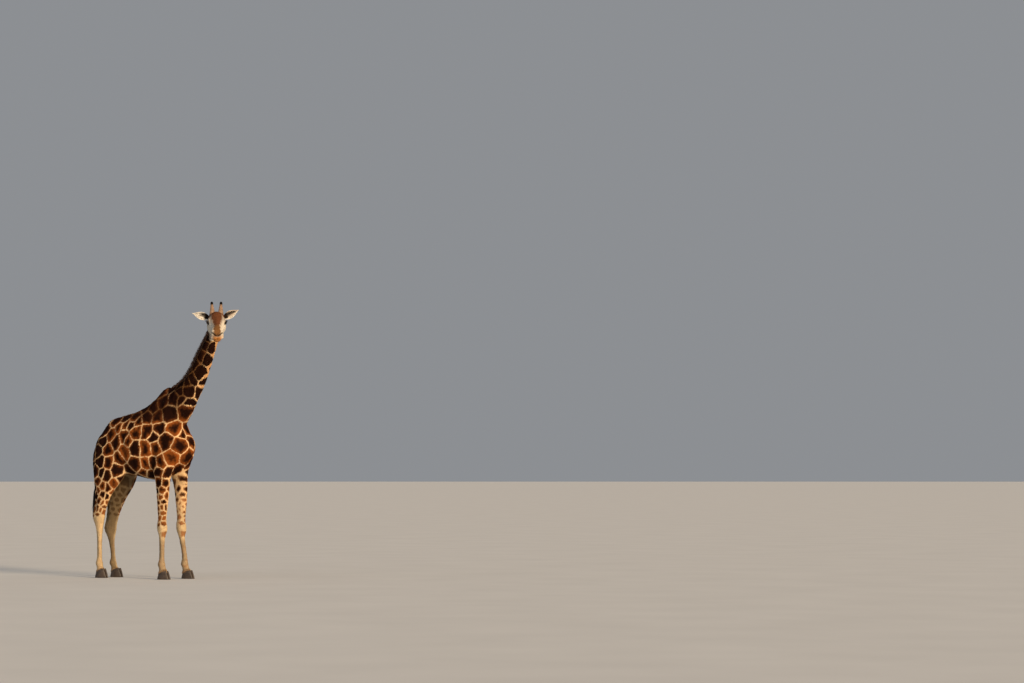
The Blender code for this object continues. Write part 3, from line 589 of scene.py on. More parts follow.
def flesh_lofts():
    """Every fleshy form, each closed, overlapping its neighbours."""
    head = carried(barrel(HEAD))
    orbits = [ball(ORBIT_AT * (1, sign, 1), ORBIT_RADII) for sign in SIDES.values()]
    on_head = [(from_head(p), f) for p, f in [head, *orbits]]
    bodies = [carried(barrel(TRUNK)), carried(neck_form()), carried(tail_form())]
    legs = [carried(leg_form(name)) for name in POSES]
    return [(p, outward(p, f)) for p, f in [*bodies, *on_head, *legs]]


# ---------------------------------------------------------------- skin
def near_eye(head):
    """How far each point is from the middle of the nearer eye, in the head's frame."""
    return np.minimum(*(np.linalg.norm(head - EYE_AT * (1, s, 1), axis=1) for s in SIDES.values()))


def near_slits(head, laid=False):
    """How far each point is from the nearest nostril or
    the line of the mouth, laid on those points or not."""
    best = np.full(len(head), 9.0)
    for path, _, height in HEAD_FORMS:
        if height <= -0.01 and len(path) > 2:
            for sign in SIDES.values():
                slit = mirrored(path, sign)
                best = np.minimum(best, path_distance(head, on_skin(head, slit) if laid else slit))
    return best


def finer_where(obj, chosen):
    """The faces whose middle is chosen, each parted in four."""
    bm = bmesh.new()
    bm.from_mesh(obj.data)
    middles = np.array([f.calc_center_median() for f in bm.faces])
    pick = chosen(middles)
    bm.faces.ensure_lookup_table()
    edges = {e for i in np.flatnonzero(pick) for e in bm.faces[i].edges}
    bmesh.ops.subdivide_edges(bm, edges=list(edges), cuts=1, use_grid_fill=True)
    bmesh.ops.triangulate(bm, faces=[f for f in bm.faces if len(f.verts) > 4])
    bm.to_mesh(obj.data)
    bm.free()


def eye_axes(sign):
    """Where an eye looks, the line from its back to its front corner, and its up, in the head's frame."""
    gaze = unit(np.array([0.3, 0.95 * sign, 0.05]))
    corner = np.array([0.9, 0.0, -0.3])
    corner = unit(corner - gaze * (corner @ gaze))
    return gaze, corner, np.cross(gaze, corner) * -sign


def opening(h, v):
    """1 on the rim between the lids, less inside: an
    almond LID_LONG to each side, rounder above than below."""
    tall = np.where(v > 0, LID_UPPER, LID_LOWER) * np.clip(1 - (h / LID_LONG) ** 2, 0.01, 1) ** 0.75
    return np.maximum(np.abs(h) / LID_LONG, np.abs(v) / np.maximum(tall, 0.05))


def lid_reach(head):
    """How many radians outside the opening each head point
    lies, seen from the nearest eye; 9 away from the eyes."""
    best = np.full(len(head), 9.0)
    for sign in SIDES.values():
        gaze, corner, up = eye_axes(sign)
        rel = head - EYE_AT * (1, sign, 1)
        far = np.maximum(np.linalg.norm(rel, axis=1), 1e-6)
        angle = np.arccos(np.clip(rel @ gaze / far, -1, 1))
        flat = np.maximum(np.hypot(rel @ corner, rel @ up), 1e-6)
        h, v = angle * (rel @ corner) / flat, angle * (rel @ up) / flat
        tall = np.where(v > 0, LID_UPPER, LID_LOWER)
        out = (np.hypot(h / LID_LONG, v / tall) - 1) * tall
        best = np.minimum(best, np.where(far < 0.055, out, 9.0))
    return best


def lidded(points):
    """Head points round each eye, laid evenly over a cap that hugs the ball: the
    way out from the gaze becomes an angle, 2.3 radians for every 60 mm. Inside
    the opening they sink under the ball; the rim is drawn onto its line, a fold
    runs above it and a pouch below, and beyond 33 mm the cap eases into the face."""
    points = points.copy()
    for sign in SIDES.values():
        gaze, corner, up = eye_axes(sign)
        rel = points - EYE_AT * (1, sign, 1)
        a, b, d = rel @ corner, rel @ up, rel @ gaze
        off = np.maximum(np.hypot(a, b), 1e-6)
        angle = 38.0 * off
        h, v = angle * a / off, angle * b / off
        o = opening(h, v)
        snapped = np.where(np.abs(o - 1) < 0.16, 1 / np.maximum(o, 0.1), 1.0)
        angle = angle * snapped
        lid = EYE_RADIUS * 1.075 + 0.0022 * np.exp(-((o - 1.3) / 0.22) ** 2)
        lid = lid - 0.003 * np.exp(-((o - 1.72) / 0.14) ** 2) * (v > -0.05) + 0.0015 * rise(o, 1.8, 2.2)
        far = np.where(o < 0.86, EYE_RADIUS * 0.85, lid)
        aside, above = far * np.sin(angle) * a / off, far * np.sin(angle) * b / off
        cap = gaze * (far * np.cos(angle))[:, None] + corner * aside[:, None] + up * above[:, None]
        share = rise(0.0405 - off, 0, 0.0075) * (d > -0.02)
        points = points + (EYE_AT * (1, sign, 1) + cap - points) * share[:, None]
    return points


def mirrored(path, sign):
    """A path on the left side, or its mirror image on the right."""
    return np.array(path) * (1, sign, 1)


def on_skin(points, path):
    """A path's points and those every 8 mm between them, each moved to the middle of the
    five nearest points of the skin, then each inner one eased twice towards its neighbours."""
    path = np.array(path, float)
    dense = [path[:1]]
    for a, b in zip(path[:-1], path[1:]):
        steps = max(1, round(float(np.linalg.norm(b - a)) / 0.008))
        dense.append(a + (b - a) * (np.arange(1, steps + 1) / steps)[:, None])
    dense = np.concatenate(dense)
    middle, reach = dense.mean(0), np.ptp(dense, axis=0).max() + 0.15
    close = points[(np.abs(points - middle) < reach).all(1)]
    near = np.argpartition(np.linalg.norm(dense[:, None] - close[None], axis=2), 5, axis=1)[:, :5]
    placed = close[near].mean(1)
    for _ in range(2):
        placed[1:-1] = (placed[:-2] + 2 * placed[1:-1] + placed[2:]) / 4
    return placed


def shaped(points, normals):
    """Flesh pushed along its normals: each form adds
    height * exp(-(distance from its path / width) ** 2)."""
    push = np.zeros(len(points))
    for path, width, height in FORMS:
        for sign in SIDES.values():
            placed = on_skin(points, mirrored(path, sign))
            push += height * np.exp(-(path_distance(points, placed) / width) ** 2)
    for name in POSES:
        kind, side = name.split("_")
        leg = (points[:, 2] < 1.5) & ((points[:, 0] > 0.7) == (kind == "foreleg"))
        leg &= np.sign(points[:, 1]) == SIDES[side]
        for path, width, height in LEG_FORMS[kind]:
            placed = on_skin(points, posed(name, np.array(path, float) + (LEG_TABLES[kind][1], 0, 0)))
            push[leg] += height * np.exp(-(path_distance(points[leg], placed) / width) ** 2)
    head = to_head(points)
    close = (np.abs(head - (0.3, 0, 0)) < (0.45, 0.25, 0.3)).all(1)
    for path, width, height in HEAD_FORMS:
        both = [path_distance(head[close], on_skin(head[close], mirrored(path, s))) for s in SIDES.values()]
        push[close] += height * np.exp(-(np.minimum(*both) / width) ** 2)
    line, ahead, crest, rows = neck_line()
    for k in range(NECK_WRINKLES):
        i = round(len(rows) * (0.7 + 0.028 * k))
        fold = line[i] - crest[i] * rows[i, 3]
        d = (points - fold) @ ahead[i] + 0.008 * np.sin(points[:, 1] * 40 + k)
        reach = np.exp(-(np.linalg.norm(points - fold, axis=1) / 0.1) ** 2)
        push -= 0.004 * np.exp(-(d / 0.008) ** 2) * reach
    trunk = rise(points[:, 2], 1.35, 1.6) * rise(3.4 - points[:, 2], 0, 0.4)
    low = 0.0012 * ripple(points, 0.06, 6) * (points[:, 2] > 0.3)
    push += trunk * 0.003 * ripple(points, 0.16, 5) + low
    return points + normals * push[:, None]


def flesh_surface(settings):
    """One closed skin: the lofts joined on a fine grid, their joins eased most
    where limbs and neck meet the trunk, then laid on an even grid that is four
    times finer on the head and again round the eyes and on the muzzle."""
    points, faces = joined(flesh_lofts())
    fine = mesh_piece("flesh_fine", points, faces, closed=False)
    grid = fine.modifiers.new("Join", "REMESH")
    grid.mode, grid.voxel_size = "VOXEL", 0.007
    apply_modifiers(fine)
    points = points_of(fine)
    strength = np.clip((points[:, 2] - 1.15) / 0.35, 0.05, 1)
    strength = np.where(points[:, 2] > 3.2, np.clip((3.6 - points[:, 2]) / 0.4, 0.1, 1), strength)
    strength = np.where(points[:, 0] < -0.17, 0.15, strength)
    group = fine.vertex_groups.new(name="ease")
    levels = np.round(strength * 20).astype(int)
    for level in np.unique(levels):
        group.add(np.flatnonzero(levels == level).tolist(), level / 20, "REPLACE")
    ease = fine.modifiers.new("Ease", "SMOOTH")
    ease.factor, ease.iterations, ease.vertex_group = 0.5, 56, "ease"
    apply_modifiers(fine)

    skin = fine.copy()
    skin.data = fine.data.copy()
    bpy.context.scene.collection.objects.link(skin)
    grid = skin.modifiers.new("Even", "REMESH")
    grid.mode, grid.voxel_size = "VOXEL", settings.skin_grid
    apply_modifiers(skin)
    finer_where(skin, lambda p: (np.abs(to_head(p) - (0.32, 0, 0)) < (0.36, 0.25, 0.3)).all(1))
    finer_where(skin, lambda p: (near_eye(to_head(p)) < 0.062) | (to_head(p)[:, 0] > 0.45))
    finer_where(skin, lambda p: (near_eye(to_head(p)) < 0.05) | (near_slits(to_head(p)) < 0.017))
    wrap = skin.modifiers.new("Lay", "SHRINKWRAP")
    wrap.target, wrap.wrap_method = fine, "NEAREST_SURFACEPOINT"
    apply_modifiers(skin)
    skin.vertex_groups.clear()
    bpy.data.objects.remove(fine)
    return skin


# ---------------------------------------------------------------- unwrap of the skin
ATLAS = 5.6  # metres of skin across the whole unwrap
CHARTS = {  # place in the unwrap and metres round per radian
    "trunk": (0.05, 0.05, 0.4), "neck": (2.75, 0.05, 0.2),
    "head": (4.2, 0.05, 0.13), "tail": (4.2, 1.1, 0.03),
    "foreleg_left": (0.05, 2.75, 0.12), "foreleg_right": (1.05, 2.75, 0.12),
    "hindleg_left": (2.05, 2.75, 0.16), "hindleg_right": (3.25, 2.75, 0.16),
}


def region_of(points):
    """The chart that each point lies in, as its number in CHARTS."""
    x, y, z = points.T
    head = to_head(points)[:, 0] > -0.02
    neck = (x * 0.9 + z * 0.43) > (1.4 * 0.9 + 2.5 * 0.43)
    leg = z < 1.42
    fore, left = x > 0.7, y > 0
    tail = (x < -0.12) & (z > 1.2)
    region = np.zeros(len(points), int)
    region[neck] = 1
    region[head & neck & (z > 3.3)] = 2
    for k, here in enumerate((fore & left, fore & ~left, ~fore & left, ~fore & ~left)):
        region[leg & here] = 4 + k
    region[tail] = 3
    return region


def chart_place(name, points):
    """Angle round the part and metres along it."""
    x, y, z = points.T
    if name == "trunk":
        return np.arctan2(y, z - 1.95), x
    if name == "neck":
        line, _, crest, _ = neck_line()
        near = np.linalg.norm(points[:, None] - line[None], axis=2).argmin(1)
        rel = points - line[near]
        ahead = np.array([0.41, 0, 0.91])
        return np.arctan2(rel[:, 1], (rel * crest[near]).sum(1)), points @ ahead - 2.75
    if name == "head":
        head = to_head(points)
        return np.arctan2(head[:, 1], head[:, 2]), head[:, 0]
    if name == "tail":
        return np.arctan2(y, -0.19 - x), z - 1.2
    table, foot_x = LEG_TABLES[name.split("_")[0]]
    rows = np.array(table)[::-1]
    middle = foot_x + np.interp(z, rows[:, 0], (rows[:, 1] + rows[:, 2]) / 2)
    out = np.interp(z, rows[:, 0], (rows[:, 3] + rows[:, 4]) / 2) * SIDES[name.split("_")[1]]
    return np.arctan2(y - out, x - middle), z


def unwrap(obj, points):
    """A map named OFBake: each part of the skin rolled
    out flat round its own middle, the parts side by side."""
    mesh = obj.data
    corners = taken(mesh.loops, "vertex_index", 1, np.int32)
    starts = taken(mesh.polygons, "loop_start", 1, np.int32)
    counts = np.diff(np.append(starts, len(corners)))
    face = np.repeat(np.arange(len(starts)), counts)
    region = region_of(points)[corners[starts]][face]
    uv = np.zeros((len(corners), 2))
    for k, (name, (u0, v0, per_radian)) in enumerate(CHARTS.items()):
        here = region == k
        angle, along = chart_place(name, points[corners[here]])
        first = np.r_[True, face[here][1:] != face[here][:-1]]
        lead = angle[np.maximum.accumulate(np.where(first, np.arange(len(angle)), 0))]
        past = angle - lead
        angle = angle + np.where(past < -np.pi, 2 * np.pi, 0) - np.where(past > np.pi, 2 * np.pi, 0)
        uv[here, 0] = (u0 + 0.05 + (angle + np.pi) * per_radian) / ATLAS
        uv[here, 1] = (v0 + 0.25 + along) / ATLAS
    mesh.uv_layers.new(name="OFBake").data.foreach_set("uv", uv.astype(np.float32).ravel())


# ---------------------------------------------------------------- markings
LOWEST_PATCH = 0.55  # no random patch lies lower
PATCH_PULL = 0.3  # how far a broad patch pushes its neighbours' borders away
# The patches that give the right side its look: x, z, size
RIGHT_PATCHES = (
    (0.39, 2.19, 0.13), (0.52, 2.24, 0.12), (0.65, 2.22, 0.12), (0.45, 2.33, 0.16), (0.68, 2.36, 0.17),
    (0.78, 2.28, 0.14), (0.94, 2.35, 0.16), (1.14, 2.35, 0.17), (1.33, 2.38, 0.22), (1.6, 2.4, 0.22),
    (1.16, 2.56, 0.18), (0.53, 2.08, 0.16), (0.78, 2.12, 0.19), (0.98, 2.13, 0.17), (1.21, 2.18, 0.13),
    (1.11, 2.04, 0.12), (1.44, 2.15, 0.18), (1.57, 2.15, 0.12), (0.37, 2.0, 0.15), (0.65, 1.99, 0.14),
    (0.58, 1.81, 0.17), (0.79, 1.86, 0.18), (0.99, 1.87, 0.17), (1.16, 1.87, 0.16), (1.33, 1.99, 0.22),
    (1.54, 1.92, 0.19), (0.49, 1.7, 0.16), (0.76, 1.63, 0.19), (0.96, 1.64, 0.13), (1.09, 1.67, 0.12),
    (1.25, 1.69, 0.15), (1.43, 1.73, 0.18), (0.11, 2.0, 0.13), (0.02, 1.86, 0.14), (0.21, 1.86, 0.14),
    (0.1, 1.69, 0.14), (0.26, 1.67, 0.12), (0.24, 1.47, 0.11), (0.12, 1.53, 0.1), (0.03, 1.4, 0.09),
    (1.2, 1.55, 0.13), (1.37, 1.52, 0.11), (1.34, 1.38, 0.1), (1.2, 1.39, 0.11)
)
# The same on the neck: height, degrees round from the crest, size
NECK_PATCHES = (
    (3.34, 88, 0.1), (3.33, 146, 0.1), (3.18, 145, 0.11), (3.16, 76, 0.11), (2.97, 132, 0.16),
    (2.9, 92, 0.12), (2.94, 183, 0.12), (2.8, 78, 0.12), (2.62, 146, 0.17), (2.63, 110, 0.12),
    (2.65, 80, 0.11), (2.76, 183, 0.12), (2.53, 190, 0.12)
)
# The same on the legs: height, degrees round from straight ahead, size
LEG_PATCHES = {
    "foreleg_right": ((1.28, -59, 0.1), (1.39, -108, 0.09), (1.18, -74, 0.07), (1.2, -15, 0.07),
                      (1.11, -50, 0.05), (1.1, -120, 0.06), (1.03, -67, 0.06), (1.04, -10, 0.05),
                      (0.945, -59, 0.05), (0.95, -130, 0.05), (0.875, -33, 0.045), (0.65, -25, 0.055)),
    "foreleg_left": ((1.5, -1, 0.1), (1.4, -17, 0.08), (1.3, -74, 0.09), (1.21, -30, 0.08),
                     (1.13, -99, 0.07), (1.09, -50, 0.06), (1.2, 20, 0.06), (1.07, 10, 0.06),
                     (0.985, -50, 0.05), (0.96, -95, 0.05), (0.91, -5, 0.045), (0.62, -22, 0.055)),
    "hindleg_right": ((1.32, -90, 0.09), (1.31, -33, 0.08), (1.22, -62, 0.07), (1.18, -20, 0.06),
                      (1.125, -95, 0.07), (1.1, -50, 0.06), (1.04, -15, 0.05), (1.01, -95, 0.06),
                      (0.985, -45, 0.05), (0.91, -80, 0.05)),
}


def set_patches(points):
    """The listed patches' middles on the skin of the right side, and their sizes."""
    right = points[points[:, 1] < -0.02]
    middles, sizes = [], []
    for x, z, size in RIGHT_PATCHES:
        off = np.hypot(right[:, 0] - x, right[:, 2] - z)
        middles.append(right[np.where(off < off.min() + 0.015, right[:, 1], 9).argmin()])
        sizes.append(size)
    line, _, crest, rows = neck_line()
    for z, degrees, size in NECK_PATCHES:
        i = np.abs(line[:, 2] - z).argmin()
        c, s = math.cos(math.radians(degrees)), math.sin(math.radians(degrees))
        reach = rows[i, 2] if c > 0 else rows[i, 3]
        middles.append(line[i] + crest[i] * c * reach - np.array([0, s * rows[i, 4], 0]))
        sizes.append(size)
    for leg, patches in LEG_PATCHES.items():
        here = points[region_of(points) == list(CHARTS).index(leg)]
        angle, height = chart_place(leg, here)
        for z, degrees, size in patches:
            aside = 0.06 * ((angle - math.radians(degrees) + np.pi) % (2 * np.pi) - np.pi)
            middles.append(here[np.hypot(aside, height - z).argmin()])
            sizes.append(size)
    return middles, sizes


def lay(base, colour, share):
    """Colours moved towards another colour by a share."""
    share = np.broadcast_to(np.clip(share, 0, 1), len(base))
    return base + (np.array(colour[:3]) - base) * share[:, None]


def one_colour(colour, count):
    """The same colour, that many times."""
    return np.tile(np.array(colour[:3]), (count, 1))


def on_face(head):
    """1 on the head and 0 on the neck, eased across the back of the jaw, in the head's frame."""
    box = (np.abs(head[:, 1]) < 0.26) & (head[:, 2] > -0.24) & (head[:, 2] < 0.4) & (head[:, 0] < 0.75)
    return box * rise(head[:, 0] + 0.25 * head[:, 2], -0.01, 0.05)


def face_colours(head, ground, settings):
    """The face, in the head's frame: brown forehead, reddish bridge, cream cheeks and eye
    rings, brown nose over orange lips, and bare dark skin in the slits and round the eyes."""
    x, y, z = head.T
    wide = np.abs(y)
    wave = ripple(head, 0.07, 41) + 0.6 * ripple(head, 0.023, 42)
    on = on_face(head)
    brow = rise(z + 0.006 * wave, 0.02, 0.085) * rise(0.35 - x + 0.01 * wave, 0, 0.13)
    temple = rise(wide + 0.004 * wave, 0.058, 0.095) * rise(x, 0.1, 0.17)
    half = 0.084 - 0.034 * rise(x, 0.24, 0.5)
    bridge = rise(z, -0.03, 0.03) * rise(half - wide + 0.005 * wave, 0, 0.03) * rise(x, 0.1, 0.2)
    nose = rise(x + 0.35 * z + 0.008 * wave, 0.42, 0.53) * rise(z + 0.004 * wave, -0.085, -0.045)
    nose = nose * rise(0.064 - wide + 0.007 * wave, 0, 0.028)
    lips = rise(x - 0.3 * (z + 0.1) + 0.008 * wave, 0.44, 0.55) * rise(0.004 * wave - z, 0.04, 0.08)
    ground = lay(ground, settings.cheek, on)
    ground = lay(ground, settings.brow, on * brow * (1 - 0.6 * temple))
    pale = rise(0.075 - wide, 0, 0.05) * rise(x, 0.2, 0.3) * rise(z, -0.05, 0)
    ground = lay(ground, settings.ground, 0.45 * on * pale)
    ground = lay(ground, settings.bridge, on * bridge)
    ground = lay(ground, settings.nose, on * nose)
    ground = lay(ground, settings.lips, on * lips)
    beside = rise(wide, 0.036, 0.082) * (0.45 + 0.4 * rise(z, -0.12, -0.09))
    ground = lay(ground, settings.cheek, on * lips * beside)
    speck = rise(ripple(head, 0.03, 43) + 0.5 * ripple(head, 0.013, 44), 0.55, 0.95)
    ground = lay(ground, settings.patch_pale,
                 0.45 * on * speck * rise(0.24 - x, 0, 0.16) * rise(0.03 - z, 0, 0.05))
    slits = near_slits(head, laid=True)
    dark = np.maximum(rise(0.0062 - slits, 0, 0.0034), 0.75 * np.exp(-(slits / 0.019) ** 2) * (z > -0.08))
    corner = np.minimum(*(path_distance(head, mirrored(((0.222, 0.12, 0.056), (0.246, 0.112, 0.032)), s))
                          for s in SIDES.values()))
    dark = np.maximum(dark, 0.85 * np.exp(-(corner / 0.014) ** 2))
    dark = np.maximum(dark, rise(0.52 + 0.05 * wave - lid_reach(head), 0, 0.36))
    return lay(ground, settings.bare_skin, dark * on)


def patch_size(points):
    """How far apart patches lie: broad on the trunk, less up the neck and down the legs."""
    x, _, z = points.T
    size = np.full(len(points), 0.185)
    size -= 0.07 * rise(z, 2.45, 3.4)
    size -= 0.055 * rise(1.75 - z, 0, 0.4) + 0.065 * rise(1.45 - z, 0, 0.25)
    size -= 0.02 * rise(0.3 - x, 0, 0.35) * rise(z, 1.3, 1.6)
    return np.maximum(size, 0.072)


def patch_middles(points, settings):
    """Middles of the patches: the listed ones, then skin points in a fixed random
    order, each kept where it is further than its own patch size from all before it."""
    rng = np.random.default_rng(settings.pattern_seed)
    kept, sizes = set_patches(points)
    order = rng.permutation(len(points))[:9000]
    wanted = patch_size(points[order]) * rng.uniform(0.82, 1.12, len(order))
    count = len(kept)
    middles, radii = np.zeros((2000, 3)), np.zeros(2000)
    middles[:count], radii[:count] = kept, sizes
    for place, size in zip(points[order], wanted):
        gap = np.linalg.norm(middles[:count] - place, axis=1)
        if place[2] >= LOWEST_PATCH and (gap > (size + radii[:count]) * 0.5).all():
            middles[count], radii[count] = place, size
            count += 1
    return middles[:count], radii[:count]


def coat_fields(points, normals, settings):
    """The coat at each point: how far inside a patch it lies (below 0 between patches),
    how near the patch's middle, a random tone for each patch, and the colours of the
    ground and of the patch; the tone and both colours also carry painted shade on the
    upper neck, back, rump, inner hind legs and shins, and painted sunlight on the throat.
    A point belongs to the middle with the least distance ** 2 - PATCH_PULL * size ** 2;
    the border to another middle is the plane where both are equal."""
    x, y, z = points.T
    head = to_head(points)
    face = on_face(head) > 0
    calm = (1 - 0.6 * rise(1.5 - z, 0, 0.4))[:, None]
    warped = points + 0.011 * calm * np.stack([ripple(points, 0.16, s) for s in (11, 12, 13)], 1)
    # and finer waves on the borders
    warped += 0.003 * calm * np.stack([ripple(points, 0.05, s) for s in (14, 15, 16)], 1)
    middles, radii = patch_middles(points, settings)
    owner, power, inside = np.zeros(len(points), int), np.full(len(points), 9.0), np.full(len(points), 9.0)
    pulls = PATCH_PULL * radii ** 2
    for k, middle in enumerate(middles):
        here = ((warped - middle) ** 2).sum(1) - pulls[k]
        owner, power = np.where(here < power, k, owner), np.minimum(here, power)
    for k, middle in enumerate(middles):
        own = np.flatnonzero(owner == k)
        gap = np.linalg.norm(middles - middle, axis=1)
        near = np.flatnonzero((gap > 0) & (gap < 0.7))
        others = ((warped[own][:, None] - middles[near][None]) ** 2).sum(2) - pulls[near]
        if len(own) and len(near):
            inside[own] = ((others - power[own][:, None]) / (2 * gap[near])).min(1)
    inside = np.minimum(inside, 0.1)

    # half the breadth of the light lines, more on the belly and the inner legs; no patches on the shanks
    line = settings.line_width / 2 * (1 + 0.25 * ripple(points, 0.3, 21))
    below = rise(1.45 - z, 0.0, 0.45)
    belly = rise(1.62 - z, 0, 0.15) * rise(z, 1.3, 1.4) * rise(0.24 - np.abs(y), 0, 0.08)
    within = rise(-normals[:, 1] * np.sign(y), 0.0, 0.5) * rise(1.6 - z, 0, 0.15)
    line += 0.001 * below + 0.006 * belly + 0.008 * within
    spot = inside - line
    fore = x > 0.7
    knee = np.where(fore, 0.72, 0.86)
    spot -= 0.25 * rise(knee + 0.08 - z, 0.0, 0.26)

    # places on the neck: high is 1 at the throat's line below the middle and less towards the crest
    line_at, _, crest, rows = neck_line()
    near = np.linalg.norm(points[:, None, ::2] - line_at[None, :, ::2], axis=2).argmin(1)
    high = ((points - line_at[near]) * crest[near]).sum(1) / rows[near, 3]
    neck = rise(x * 0.9 + z * 0.43, 2.15, 2.45) * rise(z, 2.1, 2.4)
    # painted shade: the neck's sides towards the crest and the top of the back, partly also the darker lines
    # a giraffe has along its back
    shaded = np.maximum(neck * rise(high, -0.92, -0.2), rise(z, 2.18, 2.42) * (1 - neck))
    # painted shade on the rump as well
    shaded = np.maximum(shaded, 0.75 * rise(0.16 - x, 0, 0.16) * rise(z, 1.5, 1.8))
    tone_and_shade = np.random.default_rng(3).uniform(0, 1, len(middles))[owner]
    core = np.clip(inside / (0.5 * radii[owner]), 0, 1)
    # the throat strip: partly the paler throat, partly painted sunlight on the neck's front edge
    throat = neck * rise(-high, 0.8, 0.98) * rise(z, 2.5, 2.8)
    spot -= 0.018 * throat

    ground, patch = one_colour(settings.ground, len(points)), one_colour(settings.patch, len(points))
    ground = lay(ground, settings.stocking, rise(1.15 - z, 0, 0.35))
    # partly painted shade: the shins greyer and darker, more on the forelegs
    ground = lay(ground, settings.shin_grey_and_shade, (0.45 + 0.55 * fore) * rise(0.62 - z, 0, 0.12))
    ground = lay(ground, settings.belly, belly)
    # painted light, partly real: the throat strip orange
    ground = lay(ground, settings.lips, 0.6 * throat)
    # painted shade, partly darker hair: the lines darker on the upper neck, the back and the rump
    ground = lay(ground, settings.back_lines_and_shade, shaded)
    low = rise(1.22 - z, 0, 0.25)
    patch = lay(patch, settings.patch_pale, 0.75 * belly + 0.45 * rise(1.4 - z, 0, 0.3) + 0.3 * low)
    # painted shade: the patches darker in those same places
    patch = lay(patch, settings.patch_core, 0.75 * shaded)
    patch = lay(patch, settings.belly, (0.55 - 0.35 * fore) * within)
    # inner side of the hind legs: greyish hair with faint patches, made darker by painted shade
    inner = within * rise(0.6 - x, 0, 0.1)
    core = core * (1 - inner) * (1 - 0.2 * rise(1.55 - z, 0, 0.3)) * (1 - 0.5 * low)
    ground = lay(ground, settings.inner_leg_grey_and_shade, 0.85 * inner)
    patch = lay(patch, settings.inner_patch_faint_and_shade, 0.9 * inner)
    # painted shade, partly darker hair: the patches darker all over the neck and on the rump
    dark_neck_and_rump_shade = np.maximum(1.7 * neck, 1.3 * rise(0.4 - x, 0, 0.4) * rise(z, 1.4, 1.6))
    # the tone of each patch: random, made darker by painted shade on the neck, the back and the rump, and
    # lighter on the inner legs and low down
    tone_and_shade = tone_and_shade + 0.5 * np.maximum(shaded, dark_neck_and_rump_shade) - (1 - 0.6 * fore) * within - 0.25 * rise(1.4 - z, 0, 0.3)
    tone_and_shade = np.clip(tone_and_shade, -0.4, 1.6)
    front = fore * rise(normals[:, 0], 0.0, 0.6)
    under = rise(0.05 - np.abs(z - 0.645 + 0.012 * ripple(points, 0.05, 24)), 0, 0.02)
    ground = lay(ground, settings.patch_pale, 0.85 * front * under)
    # mottling below 0.6 m, more on the forelegs: partly natural, partly painted shadows of grass
    mottle_and_grass_shadow = rise(ripple(points, 0.07, 22) + 0.5 * ripple(points, 0.03, 23), 0.1, 0.9)
    mottle_and_grass_shadow = mottle_and_grass_shadow * rise(0.6 - z, 0, 0.08)
    ground = lay(ground, settings.patch_pale, (0.2 + 0.25 * fore) * mottle_and_grass_shadow)
    spot = np.where(face, spot - 0.16 * on_face(head), spot)
    ground[face] = face_colours(head[face], ground[face], settings)
    return spot, core, tone_and_shade, ground, patch


# ---------------------------------------------------------------- materials
def fill(made, inputs):
    """Gives a node its inputs: numbers and colours, another
    node's output, or a node for its first output in use."""
    for key, value in inputs.items():
        if isinstance(value, bpy.types.Node):
            value = next(out for out in value.outputs if out.enabled)
        if isinstance(value, bpy.types.NodeSocket):
            made.id_data.links.new(value, made.inputs[key])
        else:
            made.inputs[key].default_value = value


def node(tree, kind, inputs=None, **settings):
    """Adds a shader node, with its own settings by name and its inputs."""
    made = tree.nodes.new("ShaderNode" + kind)
    for key, value in settings.items():
        setattr(made, key, value)
    fill(made, inputs or {})
    return made


def fresh_material(name):
    """An empty material, its node tree and its shader."""
    old = bpy.data.materials.get(name)
    if old:
        bpy.data.materials.remove(old)
    made = bpy.data.materials.new(name)
    made.use_nodes = True
    made.node_tree.nodes.clear()
    shader = node(made.node_tree, "BsdfPrincipled")
    node(made.node_tree, "OutputMaterial", {"Surface": shader})
    return made, made.node_tree, shader


